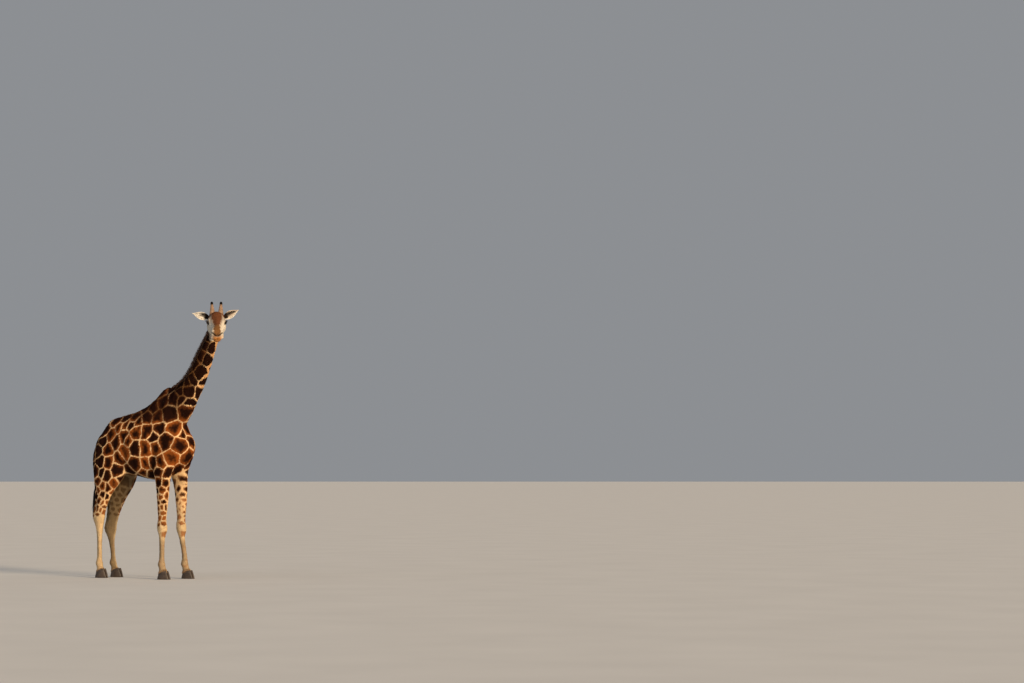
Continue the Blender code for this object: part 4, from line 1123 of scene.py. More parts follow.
def coat_material(settings):
    """Short giraffe hair, 10 to 20 mm long and lying flat:
    matt, a little silky, with ragged edges to its patches."""
    made, tree, shader = fresh_material("short hair coat")
    at = node(tree, "TexCoord").outputs["Object"]
    uv = node(tree, "UVMap", uv_map="OFBake")
    spot, core, tone_and_shade, tip, velvet = (node(tree, "Attribute", attribute_name=key).outputs["Fac"]
                                     for key in ("spot", "core", "tone_and_shade", "tip", "velvet"))
    ground, patch = (node(tree, "Attribute", attribute_name=key) for key in ("ground", "patch"))
    # hair ends that cross a patch's edge: 16 mm waves with 4 mm ones on them
    ragged = node(tree, "TexNoise", {"Vector": at, "Scale": 60.0, "Detail": 3.0, "Roughness": 0.6})
    edge = node(tree, "Math", {0: ragged, 1: 0.012, 2: -0.006}, operation="MULTIPLY_ADD")
    inside = node(tree, "Math", {0: spot, 1: edge}, operation="ADD")
    share = node(tree, "MapRange", {0: inside, 1: -0.0022, 2: 0.003}, interpolation_type="SMOOTHSTEP")
    # 60 to 90 mm clouds of darker and lighter hair inside a patch
    cloud = node(tree, "TexNoise", {"Vector": at, "Scale": 13.0, "Detail": 4.0, "Roughness": 0.65})
    depth = node(tree, "Math", {0: core, 1: 0.75, 2: cloud}, operation="MULTIPLY_ADD")
    # the tone attribute also carries painted shade on the neck, back and rump, which darkens the patches
    # there
    depth = node(tree, "Math", {0: tone_and_shade, 1: 0.45, 2: depth}, operation="MULTIPLY_ADD")
    depth = node(tree, "MapRange", {0: depth, 1: 0.62, 2: 1.36}, interpolation_type="SMOOTHSTEP")
    core_colour = node(tree, "Mix", {0: depth, 6: patch, 7: (*settings.patch_core, 1)}, data_type="RGBA")
    # 40 mm sunning and dust on the light hair
    dust = node(tree, "TexNoise", {"Vector": at, "Scale": 24.0, "Detail": 5.0, "Roughness": 0.7})
    dust = node(tree, "MapRange", {0: dust, 1: 0.35, 2: 0.75, 3: 0.86, 4: 1.1})
    light = node(tree, "Mix", {0: 1.0, 6: ground, 7: dust}, data_type="RGBA", blend_type="MULTIPLY")
    colour = node(tree, "Mix", {0: share, 6: light, 7: core_colour}, data_type="RGBA")
    # single hairs, drawn 3 mm broad and 30 mm long so that they show
    lengthwise = node(tree, "Mapping", {"Vector": uv, "Scale": (ATLAS / 0.0035, ATLAS / 0.028, 1.0)})
    strands = node(tree, "TexNoise", {"Vector": lengthwise, "Scale": 1.0, "Detail": 3.0,
                                                "Roughness": 0.6})
    # velvet of the muzzle: hairs 4 mm apart that stand too short to show their way
    nap = node(tree, "TexNoise", {"Vector": at, "Scale": 250.0, "Detail": 3.0, "Roughness": 0.6})
    strands = node(tree, "Mix", {0: velvet, 2: strands, 3: nap}, data_type="FLOAT")
    streak = node(tree, "MapRange", {0: strands, 1: 0.3, 2: 0.7, 3: 0.84, 4: 1.14})
    lighter = node(tree, "Math", {0: tip, 1: 0.3, 2: streak}, operation="MULTIPLY_ADD")
    colour = node(tree, "Mix", {0: 1.0, 6: colour, 7: lighter}, data_type="RGBA", blend_type="MULTIPLY")
    bump = node(tree, "Bump", {"Strength": 0.55, "Distance": 0.0025, "Height": strands})
    fill(shader, {"Base Color": colour, "Normal": bump, "Roughness": 0.88, "Specular IOR Level": 0.06})
    return made


def hair_material(name, dark, brown, streak_size):
    """Long coarse hair: darker than the coat, with a soft gloss along the strands and browner tips."""
    made, tree, shader = fresh_material(name)
    at = node(tree, "TexCoord").outputs["Object"]
    tip = node(tree, "Attribute", attribute_name="tip").outputs["Fac"]
    noise = node(tree, "TexNoise", {"Vector": at, "Scale": 1 / streak_size, "Detail": 3.0})
    blend = node(tree, "Math", {0: tip, 1: 0.5, 2: noise}, operation="MULTIPLY_ADD")
    share = node(tree, "MapRange", {0: blend, 1: 0.4, 2: 1.05})
    colour = node(tree, "Mix", {0: share, 6: (*dark, 1), 7: (*brown, 1)}, data_type="RGBA")
    fill(shader, {"Base Color": colour, "Roughness": 0.55, "Specular IOR Level": 0.4})
    return made


def horn_material(settings):
    """Hoof horn: grown downwards from the coronet, so it
    shows growth rings 7 mm apart and fine upright streaks."""
    made, tree, shader = fresh_material("hoof horn")
    at = node(tree, "TexCoord").outputs["Object"]
    rings = node(tree, "Mapping", {"Vector": at, "Scale": (14.0, 14.0, 140.0)})
    ring = node(tree, "TexNoise", {"Vector": rings, "Scale": 1.0, "Detail": 4.0})
    streaks = node(tree, "Mapping", {"Vector": at, "Scale": (420.0, 420.0, 18.0)})
    streak = node(tree, "TexNoise", {"Vector": streaks, "Scale": 1.0, "Detail": 3.0})
    both = node(tree, "Math", {0: streak, 1: 0.5, 2: ring}, operation="MULTIPLY_ADD")
    # dust and wear in 50 mm clouds, with only a trace of the rings in the colour
    worn = node(tree, "TexNoise", {"Vector": at, "Scale": 20.0, "Detail": 5.0, "Roughness": 0.65})
    share = node(tree, "Math", {0: both, 1: 0.35, 2: worn}, operation="MULTIPLY_ADD")
    share = node(tree, "MapRange", {0: share, 1: 0.5, 2: 1.05})
    colour = node(tree, "Mix", {0: share, 6: (*settings.horn_dark, 1), 7: (*settings.horn, 1)},
                  data_type="RGBA")
    bump = node(tree, "Bump", {"Strength": 0.5, "Distance": 0.0015, "Height": both})
    fill(shader, {"Base Color": colour, "Normal": bump, "Roughness": 0.48})
    return made


def lid_material(settings):
    """Bare eyelid skin: near black, wrinkled every 2 mm, slightly moist, with painted shade in the wrinkles'
    pits.
    """
    made, tree, shader = fresh_material("bare eyelid skin")
    at = node(tree, "TexCoord").outputs["Object"]
    folds = node(tree, "TexVoronoi", {"Vector": at, "Scale": 480.0})
    # painted shade: darker in the pits of the wrinkles, following the bump
    shade = node(tree, "MapRange", {0: folds, 1: 0.0, 2: 0.8, 3: 0.7, 4: 1.3})
    colour = node(tree, "Mix", {0: 1.0, 6: (*settings.bare_skin, 1), 7: shade},
                  data_type="RGBA", blend_type="MULTIPLY")
    bump = node(tree, "Bump", {"Strength": 0.4, "Distance": 0.0008, "Height": folds})
    fill(shader, {"Base Color": colour, "Normal": bump, "Roughness": 0.42})
    return made


def eye_material(settings):
    """A wet eyeball: a broad dark brown iris with fine
    rays, a level black pupil and a clear gloss over all."""
    made, tree, shader = fresh_material("wet eye")
    across = node(tree, "Attribute", attribute_name="across").outputs["Fac"]
    high = node(tree, "Attribute", attribute_name="high").outputs["Fac"]
    place = node(tree, "CombineXYZ", {0: across, 1: high})
    off = node(tree, "VectorMath", {0: place}, operation="LENGTH")
    slit = node(tree, "VectorMath", {0: place, 1: (1.0, 2.1, 1.0)}, operation="MULTIPLY")
    slit = node(tree, "VectorMath", {0: slit}, operation="LENGTH")
    pupil = node(tree, "MapRange", {0: slit, 1: 0.4, 2: 0.48})
    rays = node(tree, "TexNoise", {"Vector": place, "Scale": 16.0, "Detail": 3.0})
    ray = node(tree, "MapRange", {0: rays, 1: 0.3, 2: 0.7, 3: 0.6, 4: 1.5})
    iris = node(tree, "Mix", {0: 1.0, 6: (*settings.iris, 1), 7: ray}, data_type="RGBA",
                blend_type="MULTIPLY")
    seen = node(tree, "Mix", {0: pupil, 6: (0.002, 0.002, 0.002, 1), 7: iris}, data_type="RGBA")
    rim = node(tree, "MapRange", {0: off, 1: 0.78, 2: 0.86})
    colour = node(tree, "Mix", {0: rim, 6: seen, 7: (0.03, 0.02, 0.016, 1)}, data_type="RGBA")
    fill(shader, {"Base Color": colour, "Roughness": 0.06, "IOR": 1.38,
                  "Coat Weight": 1.0, "Coat Roughness": 0.02})
    return made


def dressed(obj, material, *nodes, slot="patched_coat"):
    """Gives a finished piece its material, sets it on the body and has it stand for its solids."""
    obj.data.materials.clear()
    obj.data.materials.append(material)
    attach(obj, "root")
    if nodes:
        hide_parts(*nodes)
    return obj


def in_frame(points):
    """From the middle of the hind hooves to the frame's own origin."""
    return points + ORIGIN


# ---------------------------------------------------------------- hair
def hair(name, paths, across, widths, values=None, places=None):
    """Solid strands along paths (strands, stations, 3), the last station a tip.
    Elsewhere the section is a flat triangle: half its width to each way of across and
    0.7 of it up, the width falling as (1 - share) ** 0.6. The widths are one for each
    strand or one for all; values go to the materials and places to the map, by strand."""
    count, stations = paths.shape[:2]
    k = stations - 1
    share = np.arange(stations) / k
    up = np.cross(unit(np.gradient(paths, axis=1)), across[:, None, :])
    half = np.broadcast_to(widths, count)[:, None] / 2 * (1 - share) ** 0.6
    left = paths + across[:, None, :] * half[..., None]
    right = paths - across[:, None, :] * half[..., None]
    top = paths + up * (half * 1.4)[..., None]
    body = np.stack([left, right, top], 2)[:, :k].reshape(count, k * 3, 3)
    points = np.concatenate([body, paths[:, -1:]], 1)
    last = k * 3 - 3 + np.arange(3)
    ends = np.concatenate([np.stack([last, np.roll(last, -1), np.full(3, k * 3)], 1), [[0, 2, 1]]])
    starts = (np.arange(count) * (k * 3 + 1))[:, None, None]
    faces = [(grid_faces(k, 3) + starts).reshape(-1, 4), (ends + starts).reshape(-1, 3)]
    obj = mesh_piece(name, points, faces)
    along = np.append(np.repeat(share[:-1], 3), 1.0)
    store(obj, "tip", np.tile(along, count))
    for key, value in (values or {}).items():
        store(obj, key, np.repeat(value, k * 3 + 1, axis=0))
    if places is None:
        places = np.stack([(np.arange(count) % 97 + 1) / 99, (np.arange(count) // 97 % 97 + 1) / 99], 1)
    sideways = np.append(np.tile([-0.0012, 0.0012, 0.0], k), 0.0)
    spot = np.stack([sideways, along * 0.003 - 0.0015], 1)
    set_map(obj, (places[:, None, :] + spot[None]).reshape(-1, 2))
    return obj


def hair_paths(root, out, long, stations, bend=0.0):
    """Paths for hair: root + out * way + bend * long * share ** 2, where
    way is long * share and share runs from 0 to 1 over the stations."""
    share = np.linspace(0, 1, stations)
    straight = root[:, None] + out[:, None] * (long[:, None] * share)[..., None]
    bend = np.broadcast_to(bend, root.shape)[:, None]
    return straight + bend * (long[:, None] * share ** 2)[..., None]


def head_hair(name, paths, across, widths, values=None):
    """The same, for paths and ways in the head's frame."""
    return hair(name, in_frame(from_head(paths)), across @ HEAD_TURN.T, widths, values)


def plain(colours):
    """What the coat's material reads, for hair without patches in the colours given."""
    none = np.zeros(len(colours))
    return {"spot": none - 0.05, "core": none, "tone_and_shade": none, "ground": colours, "patch": colours}


def read(obj, name, width):
    """A number or a colour that was stored on a mesh."""
    data = obj.data.attributes[name].data
    return taken(data, "value", 1) if width == 1 else taken(data, "color", width)[:, :3]


def skin_places(skin, count, wanted, seed):
    """Random places on the skin, as many on each triangle as its area times the wanted share there."""
    mesh = skin.data
    mesh.calc_loop_triangles()
    tri, loops = (taken(mesh.loop_triangles, key, 3, np.int32) for key in ("vertices", "loops"))
    points, normals = points_of(skin), normals_of(skin)
    a, b, c = (points[tri[:, k]] for k in range(3))
    area = np.linalg.norm(np.cross(b - a, c - a), axis=1) * wanted((a + b + c) / 3 - ORIGIN)
    rng = np.random.default_rng(seed)
    pick = rng.choice(len(tri), count, p=area / area.sum())
    u, v = rng.random(count), rng.random(count)
    u, v = np.where(u + v > 1, 1 - u, u), np.where(u + v > 1, 1 - v, v)
    share = np.stack([1 - u - v, u, v], 1)

    def mixed(values):
        """A triangle's three values, mixed by the place's shares of its corners."""
        return np.einsum("nk,nk...->n...", share, values[tri[pick]])

    uv = taken(mesh.uv_layers["OFBake"].data, "uv", 2)
    places = np.einsum("nk,nkc->nc", share, uv[loops[pick]])
    values = {key: mixed(read(skin, key, width)) for key, width in
              (("spot", 1), ("core", 1), ("tone_and_shade", 1), ("ground", 4), ("patch", 4))}
    return mixed(points), unit(mixed(normals)), values, places, rng


def hair_flow(points):
    """Which way the coat lies: back and down on the trunk, down neck and legs, from the nose up the face."""
    z = points[:, 2]
    neck = rise(points[:, 0] * 0.9 + z * 0.43, 2.15, 2.45)
    leg = rise(1.65 - z, 0, 0.4)
    tail = rise(-0.1 - points[:, 0], 0, 0.05)
    head = rise(to_head(points)[:, 0], -0.06, 0.04) * (z > 3.25)
    way = np.tile([-0.85, 0.0, -0.5], (len(points), 1))
    for share, along in ((neck, (-0.42, 0.0, -0.9)), (leg, (-0.05, 0.0, -1.0)), (tail, (0.0, 0.0, -1.0)),
                         (head, -HEAD_TURN[:, 0] + 0.25 * HEAD_TURN[:, 2])):
        way = way + (np.array(along) - way) * share[:, None]
    return way


def flat_tufts(name, skin, count, wanted, seed, length, width, lift):
    """Short coat over part of the skin: a tuft runs length along the flow and rises lift * length off it."""
    roots, up, values, places, rng = skin_places(skin, count, wanted, seed)
    flow = hair_flow(roots - ORIGIN) + rng.normal(0, 0.11, (count, 3))
    flow = unit(flow - up * (flow * up).sum(1)[:, None])
    across = np.cross(up, flow)
    long = length(roots - ORIGIN) * rng.uniform(0.7, 1.25, count)
    share = np.array([0.0, 0.55, 1.0])
    rising = lift * rng.uniform(0.6, 1.5, count)
    lying, off = long[:, None] * share, long[:, None] * rising[:, None] * share * (1.35 - 0.35 * share)
    paths = (roots[:, None] - up[:, None] * width * 0.35 + flow[:, None] * lying[..., None]
             + up[:, None] * off[..., None])
    return hair(name, paths, across, width * rng.uniform(0.7, 1.3, count), values, places)


# ---------------------------------------------------------------- pieces
def few(count):
    """The number of hairs, unchanged."""
    return count


def make_skin(settings):
    """The skin: flesh with its forms, drawn in along its normals by the coat's depth, less
    where the hair is short, and laid over the eyeballs; then its markings and its map."""
    skin = flesh_surface(settings)
    points = points_of(skin)
    points = shaped(points, normals_of(skin))
    set_points(skin, points)
    head = to_head(points)
    short = np.maximum(rise(1.5 - points[:, 2], 0, 0.6), on_face(head))
    points = points - normals_of(skin) * (settings.coat_depth * (1 - 0.7 * short))[:, None]
    head = to_head(points)
    close = near_eye(head) < 0.09
    head[close] = lidded(head[close])
    points = np.where(close[:, None], from_head(head), points)
    fields = coat_fields(points, normals_of(skin), settings)
    unwrap(skin, points)
    set_points(skin, in_frame(points))
    skin.data.shade_smooth()
    store_all(skin, dict(zip(("spot", "core", "tone_and_shade", "ground", "patch"), fields)))
    store(skin, "velvet", rise(head[:, 0], 0.46, 0.56) * on_face(head))
    skin.name = skin.data.name = "skin"
    legs = [f"{leg}_{part}" for leg in POSES for part in ("upper", "shank")]
    nodes = ("trunk", "neck_lower", "neck_upper", "head", "tail", *legs)
    return dressed(skin, coat_material(settings), *nodes)


def make_coat(settings):
    """Short tufts by part of the body, thinner towards the feet, and finer and shorter on the face."""
    skin = bpy.data.objects["skin"]
    material = bpy.data.materials["short hair coat"]
    body = {"trunk_left": ((0,), 1, 19500), "trunk_right": ((0,), -1, 19500), "neck": ((1,), 0, 18000),
            "fore_legs": ((4, 5), 0, 16000), "hind_legs": ((6, 7), 0, 18000), "tail": ((3,), 0, 2500)}
    for k, (name, (charts, half, count)) in enumerate(body.items()):
        def wanted(p, charts=charts, half=half):
            """Even over this part, less by 0.3 at the feet."""
            here = np.isin(region_of(p), charts) * (p[:, 1] * half >= 0)
            return here * (1 - 0.3 * rise(0.5 - p[:, 2], 0, 0.3))

        def length(p):
            """Less by 0.45 at the feet."""
            return settings.tuft_length * (1 - 0.45 * rise(1.2 - p[:, 2], 0, 0.9))

        width = settings.tuft_width * (0.8 if "legs" in name else 1.0)
        tufts = flat_tufts(f"coat_{name}", skin, few(count), wanted, 40 + k, length, width,
                           settings.tuft_lift)
        dressed(tufts, material)

    def on_head(p):
        """Not on the lids, and denser at the back of the head."""
        head = to_head(p)
        return (region_of(p) == 2) * (lid_reach(head) > 0.32) * (1 + 1.2 * (head[:, 0] < 0.1))

    def short(p):
        """0.70 of a tuft's length at the poll and 0.28 from the eyes to the lips."""
        return settings.tuft_length * (0.7 - 0.42 * rise(to_head(p)[:, 0], 0.06, 0.4))

    tufts = flat_tufts("coat_head", skin, few(19000), on_head, 60, short, settings.tuft_width * 0.4,
                       settings.tuft_lift * 0.48)
    dressed(tufts, material)


def make_eyes(settings):
    """Eyeballs: radius * (1 + 0.05 * exp(-(angle off the gaze / 0.5) ** 2)), the bulge being the cornea."""
    material = eye_material(settings)
    for name, sign in SIDES.items():
        gaze, corner, up = eye_axes(sign)
        off = np.linspace(0, np.pi, 40)[1:-1]
        around = round_angles(56)
        a = np.sin(off)[:, None] * np.cos(around)
        b = np.sin(off)[:, None] * np.sin(around)
        far = EYE_RADIUS * (1 + 0.05 * np.exp(-(off / 0.5) ** 2))[:, None]
        way = gaze * np.cos(off)[:, None, None] + corner * a[..., None] + up * b[..., None]
        points, faces = carried(way * far[..., None])
        points[-2], points[-1] = gaze * EYE_RADIUS * 1.05, -gaze * EYE_RADIUS
        obj = mesh_piece(f"eyeball_{name}", in_frame(from_head(points + EYE_AT * (1, sign, 1))), faces)
        rel = unit(points)
        store(obj, "across", rel @ corner / 0.8)
        store(obj, "high", np.where(rel @ gaze > 0, rel @ up / 0.8, 2.0))
        dressed(obj, material, f"eye_{name}", slot="wet_eye")


def lid_curve(sign, count):
    """The rim of the opening between the lids, as unit directions from the eye's middle."""
    gaze, corner, up = eye_axes(sign)
    a = round_angles(count)
    h = LID_LONG * np.cos(a)
    v = np.where(np.sin(a) > 0, LID_UPPER, -LID_LOWER) * np.clip(1 - (h / LID_LONG) ** 2, 0.0, 1) ** 0.75
    off = np.maximum(np.hypot(h, v), 1e-6)
    way = (gaze * np.cos(off)[:, None] + corner * (np.sin(off) * h / off)[:, None]
           + up * (np.sin(off) * v / off)[:, None])
    return way, a


def make_lids(settings):
    """Lid rims: a round cord of bare skin along the almond
    rim, thinner at both corners; and lashes on the upper."""
    material = lid_material(settings)
    lash = hair_material("lash hair", settings.hair_dark, settings.mane_dark, 0.004)
    for name, sign in SIDES.items():
        way, a = lid_curve(sign, 64)
        middle = way * EYE_RADIUS * 1.055
        inner = np.cross(unit(np.roll(middle, -1, 0) - np.roll(middle, 1, 0)), way)
        turned = round_angles(10)[:, None]
        thick = (0.0034 - 0.0012 * np.cos(a) ** 8)[:, None, None]
        rings = middle[:, None] + thick * (way[:, None] * np.cos(turned) + inner[:, None] * np.sin(turned))
        points = rings.reshape(-1, 3) + EYE_AT * (1, sign, 1)
        obj = mesh_piece(f"eyelid_rim_{name}", in_frame(from_head(points)), [grid_faces(64, 10, loop=True)])
        dressed(obj, material, slot="wet_eye")

        rng = np.random.default_rng(80)
        _, corner, up = eye_axes(sign)
        way, a = lid_curve(sign, 220)
        way = np.repeat(way[np.sin(a) > 0.1], 2, 0)
        way += rng.normal(0, 0.03, way.shape)
        root = way * EYE_RADIUS * 1.12 + EYE_AT * (1, sign, 1)
        out = way * 0.9 + corner * 0.1 + up * 0.05 + rng.normal(0, 0.1, way.shape)
        paths = hair_paths(root, out, rng.uniform(0.016, 0.027, len(way)), 5, up * -0.75)
        across = unit(np.cross(out, up))
        obj = head_hair(f"lashes_{name}", paths, across, 0.0014)
        dressed(obj, lash, slot="dark_hair")


def ear_surface(side, u, v):
    """An ear's mid surface: u from root to tip, v from edge to edge. A leaf of half width 0.34 +
    0.66 sin(pi u') drawn to a point, curled round its length by 1.75 - 1.05 u radians each way."""
    long = EAR_TIPS[side] - EAR_ROOT
    out = unit(long)
    forward = np.array([1, 0.15, 0.1])
    forward = unit(forward - out * (forward @ out))
    across = np.cross(out, forward)
    grown = np.clip(u * 1.05, 0, 1)
    leaf = 0.34 + 0.66 * np.sin(np.pi * grown ** 0.85)
    half = EAR_HALF_WIDTH * leaf * (1 - np.maximum(u, 0) ** 5) + 0.002
    half = half * (1 + 0.8 * np.minimum(u, 0))
    curl = 1.75 - 1.05 * u
    angle = v * curl
    points = EAR_ROOT + long * u[..., None]
    deep = half * (np.cos(angle) - np.cos(curl)) * EAR_CUP / EAR_HALF_WIDTH
    points = points + across * (half * np.sin(angle) / np.sin(np.minimum(curl, np.pi / 2)))[..., None]
    points = points - forward * deep[..., None]
    return points * (1, SIDES[side], 1)


def ear_colours(side, along, over, inside, settings):
    """Tan behind; inside pale hair at both edges and the tip, and a dark hollow that
    runs up the upper half in three streaks from the root. On the left ear the hollow
    runs further and the lower inside is browner: painted shade on the ear that faces away from the light."""
    # painted shade: the hollow reaches further on the left ear
    far = 0.62 if side == "right" else 0.96
    colours = one_colour(settings.ear_back, len(along))
    colours = lay(colours, settings.brow, rise(0.3 - along, 0, 0.25))
    streak = 0.5 + 0.5 * np.cos(6.5 * (over - EAR_UPPER * 0.25) + 1.2 * along)
    broad = 0.62 + 0.4 * rise(0.4 - along, 0, 0.3)
    hollow = rise(far - along, 0, 0.22) * rise(broad - np.abs(over - EAR_UPPER * 0.34), 0, 0.2)
    hollow = hollow * np.maximum(rise(0.42 - along, 0, 0.2), 0.6 + 0.4 * streak)
    pale = one_colour(settings.ear_inside, len(along))
    # painted shade: the lower inside of the left ear browner
    lower = 0.0 if side == "right" else 0.45 * rise(over * EAR_UPPER, -0.7, -0.3)
    pale = lay(pale, settings.ear_back, lower)
    pale = lay(pale, settings.ear_hollow, hollow)
    return colours + (pale - colours) * np.clip(inside, 0, 1)[:, None]


def make_ears(settings):
    """Each ear's mid surface with a wall round it, and its
    fringe: hair in from both edges and over the inside."""
    material = bpy.data.materials["short hair coat"]
    for side, sign in SIDES.items():
        u, v = np.meshgrid(np.linspace(-0.16, 0.995, 44), np.linspace(-1, 1, 30), indexing="ij")
        grid = ear_surface(side, u, v)
        faces = grid_faces(44, 30, ring=False)[:, ::int(sign)]
        obj = mesh_piece(f"ear_shell_{side}", in_frame(from_head(grid)), [faces], closed=False)
        set_map(obj, np.stack([0.78 + 0.05 * sign + v.ravel() * 0.02, 0.4 + u.ravel() * 0.04], 1))
        store(obj, "along", u.ravel())
        store(obj, "over", v.ravel())
        wall = obj.modifiers.new("Wall", "SOLIDIFY")
        wall.thickness, wall.offset, wall.use_even_offset = EAR_WALL, 0, True
        round_off = obj.modifiers.new("Round", "SUBSURF")
        round_off.levels = round_off.render_levels = 1
        apply_modifiers(obj)
        inside = rise((normals_of(obj) @ HEAD_TURN)[:, 0], -0.1, 0.2)
        along, over = read(obj, "along", 1), read(obj, "over", 1)
        store_all(obj, plain(ear_colours(side, along, over, inside, settings)))
        obj.data.shade_smooth()
        dressed(obj, material, f"ear_{side}", slot="cream_coat")

        rng = np.random.default_rng(90)
        count = few(2800)
        u = rng.uniform(-0.04, 0.97, count)
        v = np.where(rng.random(count) < 0.55,
                     np.sign(rng.normal(size=count)) * rng.uniform(0.62, 1.0, count),
                     rng.uniform(-0.75, 0.75, count))
        root = ear_surface(side, u, v)
        step = unit(ear_surface(side, np.minimum(u + 0.03, 1), v * 0.97) - root)
        inward = unit(ear_surface(side, u, v * 0.8) - root)
        forward = np.array([1.0, 0.0, 0.1])
        long = rng.uniform(0.012, 0.034, count) * np.sin(np.pi * np.clip(u, 0.15, 0.85))
        out = unit(step * 0.8 + forward * 0.35 + inward * 0.25 + rng.normal(0, 0.12, (count, 3)))
        across = unit(np.cross(out, inward))
        pale = ear_colours(side, u, v * 1.05, np.ones(count), settings)
        paths = hair_paths(root, out, long, 4, inward * 0.25)
        obj = head_hair(f"ear_fringe_{side}", paths, across, 0.0016, plain(pale))
        dressed(obj, material, slot="cream_coat")


def ossicone_colours(up, angle, settings):
    """Brown like the forehead at the foot, tan above, streaked, and black at the end."""
    streak = 0.5 + 0.3 * np.sin(angle * 5 + up * 9) + 0.2 * np.sin(angle * 11 - up * 14)
    colours = one_colour(settings.brow, len(up))
    colours = lay(colours, settings.horn_coat, rise(up, 0.02, 0.25) * (0.5 + 0.5 * streak))
    return lay(colours, settings.hair_dark, rise(up + 0.06 * streak, 0.74, 0.87))


def make_ossicones(settings):
    """Horns under skin: round sections along a straight axis, wide at the
    foot and knobbed at the end, with a brush of black hair round the knob."""
    material = bpy.data.materials["short hair coat"]
    black = hair_material("ossicone hair", settings.hair_dark, settings.hair_dark, 0.006)
    for side, sign in SIDES.items():
        root, tip = OSSICONE_ROOT * (1, sign, 1), OSSICONE_TIP * (1, sign, 1)
        share, radius = spread(OSSICONE_SIZES, 6).T
        axis = unit(tip - root)
        across = unit(np.cross(axis, FORWARD))
        ahead = np.cross(across, axis)
        angle = round_angles(28)
        ripples = (1 + 0.03 * np.sin(angle * 3 + share[:, None] * 9)
                   + 0.02 * np.sin(angle * 7 - share[:, None] * 15))
        reach = (radius - 0.003)[:, None] * ripples
        rings = ((root + (tip - root) * share[:, None])[:, None]
                 + reach[..., None] * (across * np.cos(angle)[:, None] + ahead * np.sin(angle)[:, None]))
        points, faces = carried(rings)
        obj = mesh_piece(f"ossicone_core_{side}", in_frame(from_head(points)), faces)
        up = (points - root) @ axis / np.linalg.norm(tip - root)
        wide, deep = (points - root) @ across, (points - root) @ ahead
        store_all(obj, plain(ossicone_colours(up, np.arctan2(deep, wide), settings)))
        set_map(obj, np.stack([0.9 + 0.03 * sign + 0.1 * wide, 0.6 + up * 0.04], 1))
        dressed(obj, material, f"ossicone_{side}")

        rng = np.random.default_rng(100)
        count = few(1300)
        up = rng.uniform(0.0, 1.0, count) ** 0.75
        high = up > 0.8
        angle = rng.uniform(0, 2 * np.pi, count)
        near = np.interp(up, share, radius) - np.where(high, 0.006, 0.004)
        side_way = across * np.cos(angle)[:, None] + ahead * np.sin(angle)[:, None]
        start = root + (tip - root) * (up * 0.985)[:, None] + side_way * near[:, None]
        out = axis * 0.95 + side_way * np.where(high, 0.16, 0.2)[:, None] + rng.normal(0, 0.1, (count, 3))
        long = np.where(high, rng.uniform(0.006, 0.011, count), rng.uniform(0.01, 0.016, count))
        paths = hair_paths(start, out, long, 4, side_way * -0.15)
        wide = unit(np.cross(out, side_way))
        for part, pick, finish in (("tuft", high, black), ("coat", ~high, material)):
            values = plain(ossicone_colours(up[pick], angle[pick], settings))
            obj = head_hair(f"ossicone_{part}_{side}", paths[pick], wide[pick], 0.0026, values)
            dressed(obj, finish, slot="dark_hair" if part == "tuft" else "patched_coat")


def make_coronet(leg, settings):
    """Hair that falls from the pastern over the top of a hoof: roots on the leg's
    section 120 mm up, higher in front, each strand down and a little outward."""
    table, foot_x = LEG_TABLES[leg.split("_")[0]]
    rng = np.random.default_rng(140)
    count = few(700)
    rows = np.array(table)[::-1]
    back, front, inner, outer = (np.interp(0.125, rows[:, 0], rows[:, c]) for c in range(1, 5))
    angle = rng.uniform(0, 2 * np.pi, count)
    c, s = np.cos(angle), np.sin(angle)
    power = 2 / LEG_ROUNDNESS
    way = np.stack([np.sign(c) * np.abs(c) ** power, np.sign(s) * np.abs(s) ** power, np.zeros(count)], 1)
    middle = np.array([foot_x + (back + front) / 2, (inner + outer) / 2, 0.118])
    root = middle + way * ((front - back) / 2 - 0.006, (outer - inner) / 2 - 0.006, 0)
    root[:, 2] += math.tan(CORONET_SLOPE) * (root[:, 0] - middle[0]) + rng.uniform(-0.012, 0.016, count)
    long = rng.uniform(0.026, 0.042, count)
    out = way * 0.42 - UPWARD * 0.9 + rng.normal(0, 0.07, (count, 3))
    paths = posed(leg, hair_paths(root, out, long, 4))
    way[:, 1] *= SIDES[leg.split("_")[1]]
    across = unit(np.stack([-way[:, 1], way[:, 0], np.zeros(count)], 1))
    # the shins' colour, partly painted shade
    colours = lay(one_colour(settings.shin_grey_and_shade, count), settings.patch_pale, 0.5 * rng.random(count))
    obj = hair(f"coronet_hair_{leg}", in_frame(paths), across, 0.0034, plain(colours))
    dressed(obj, bpy.data.materials["short hair coat"])


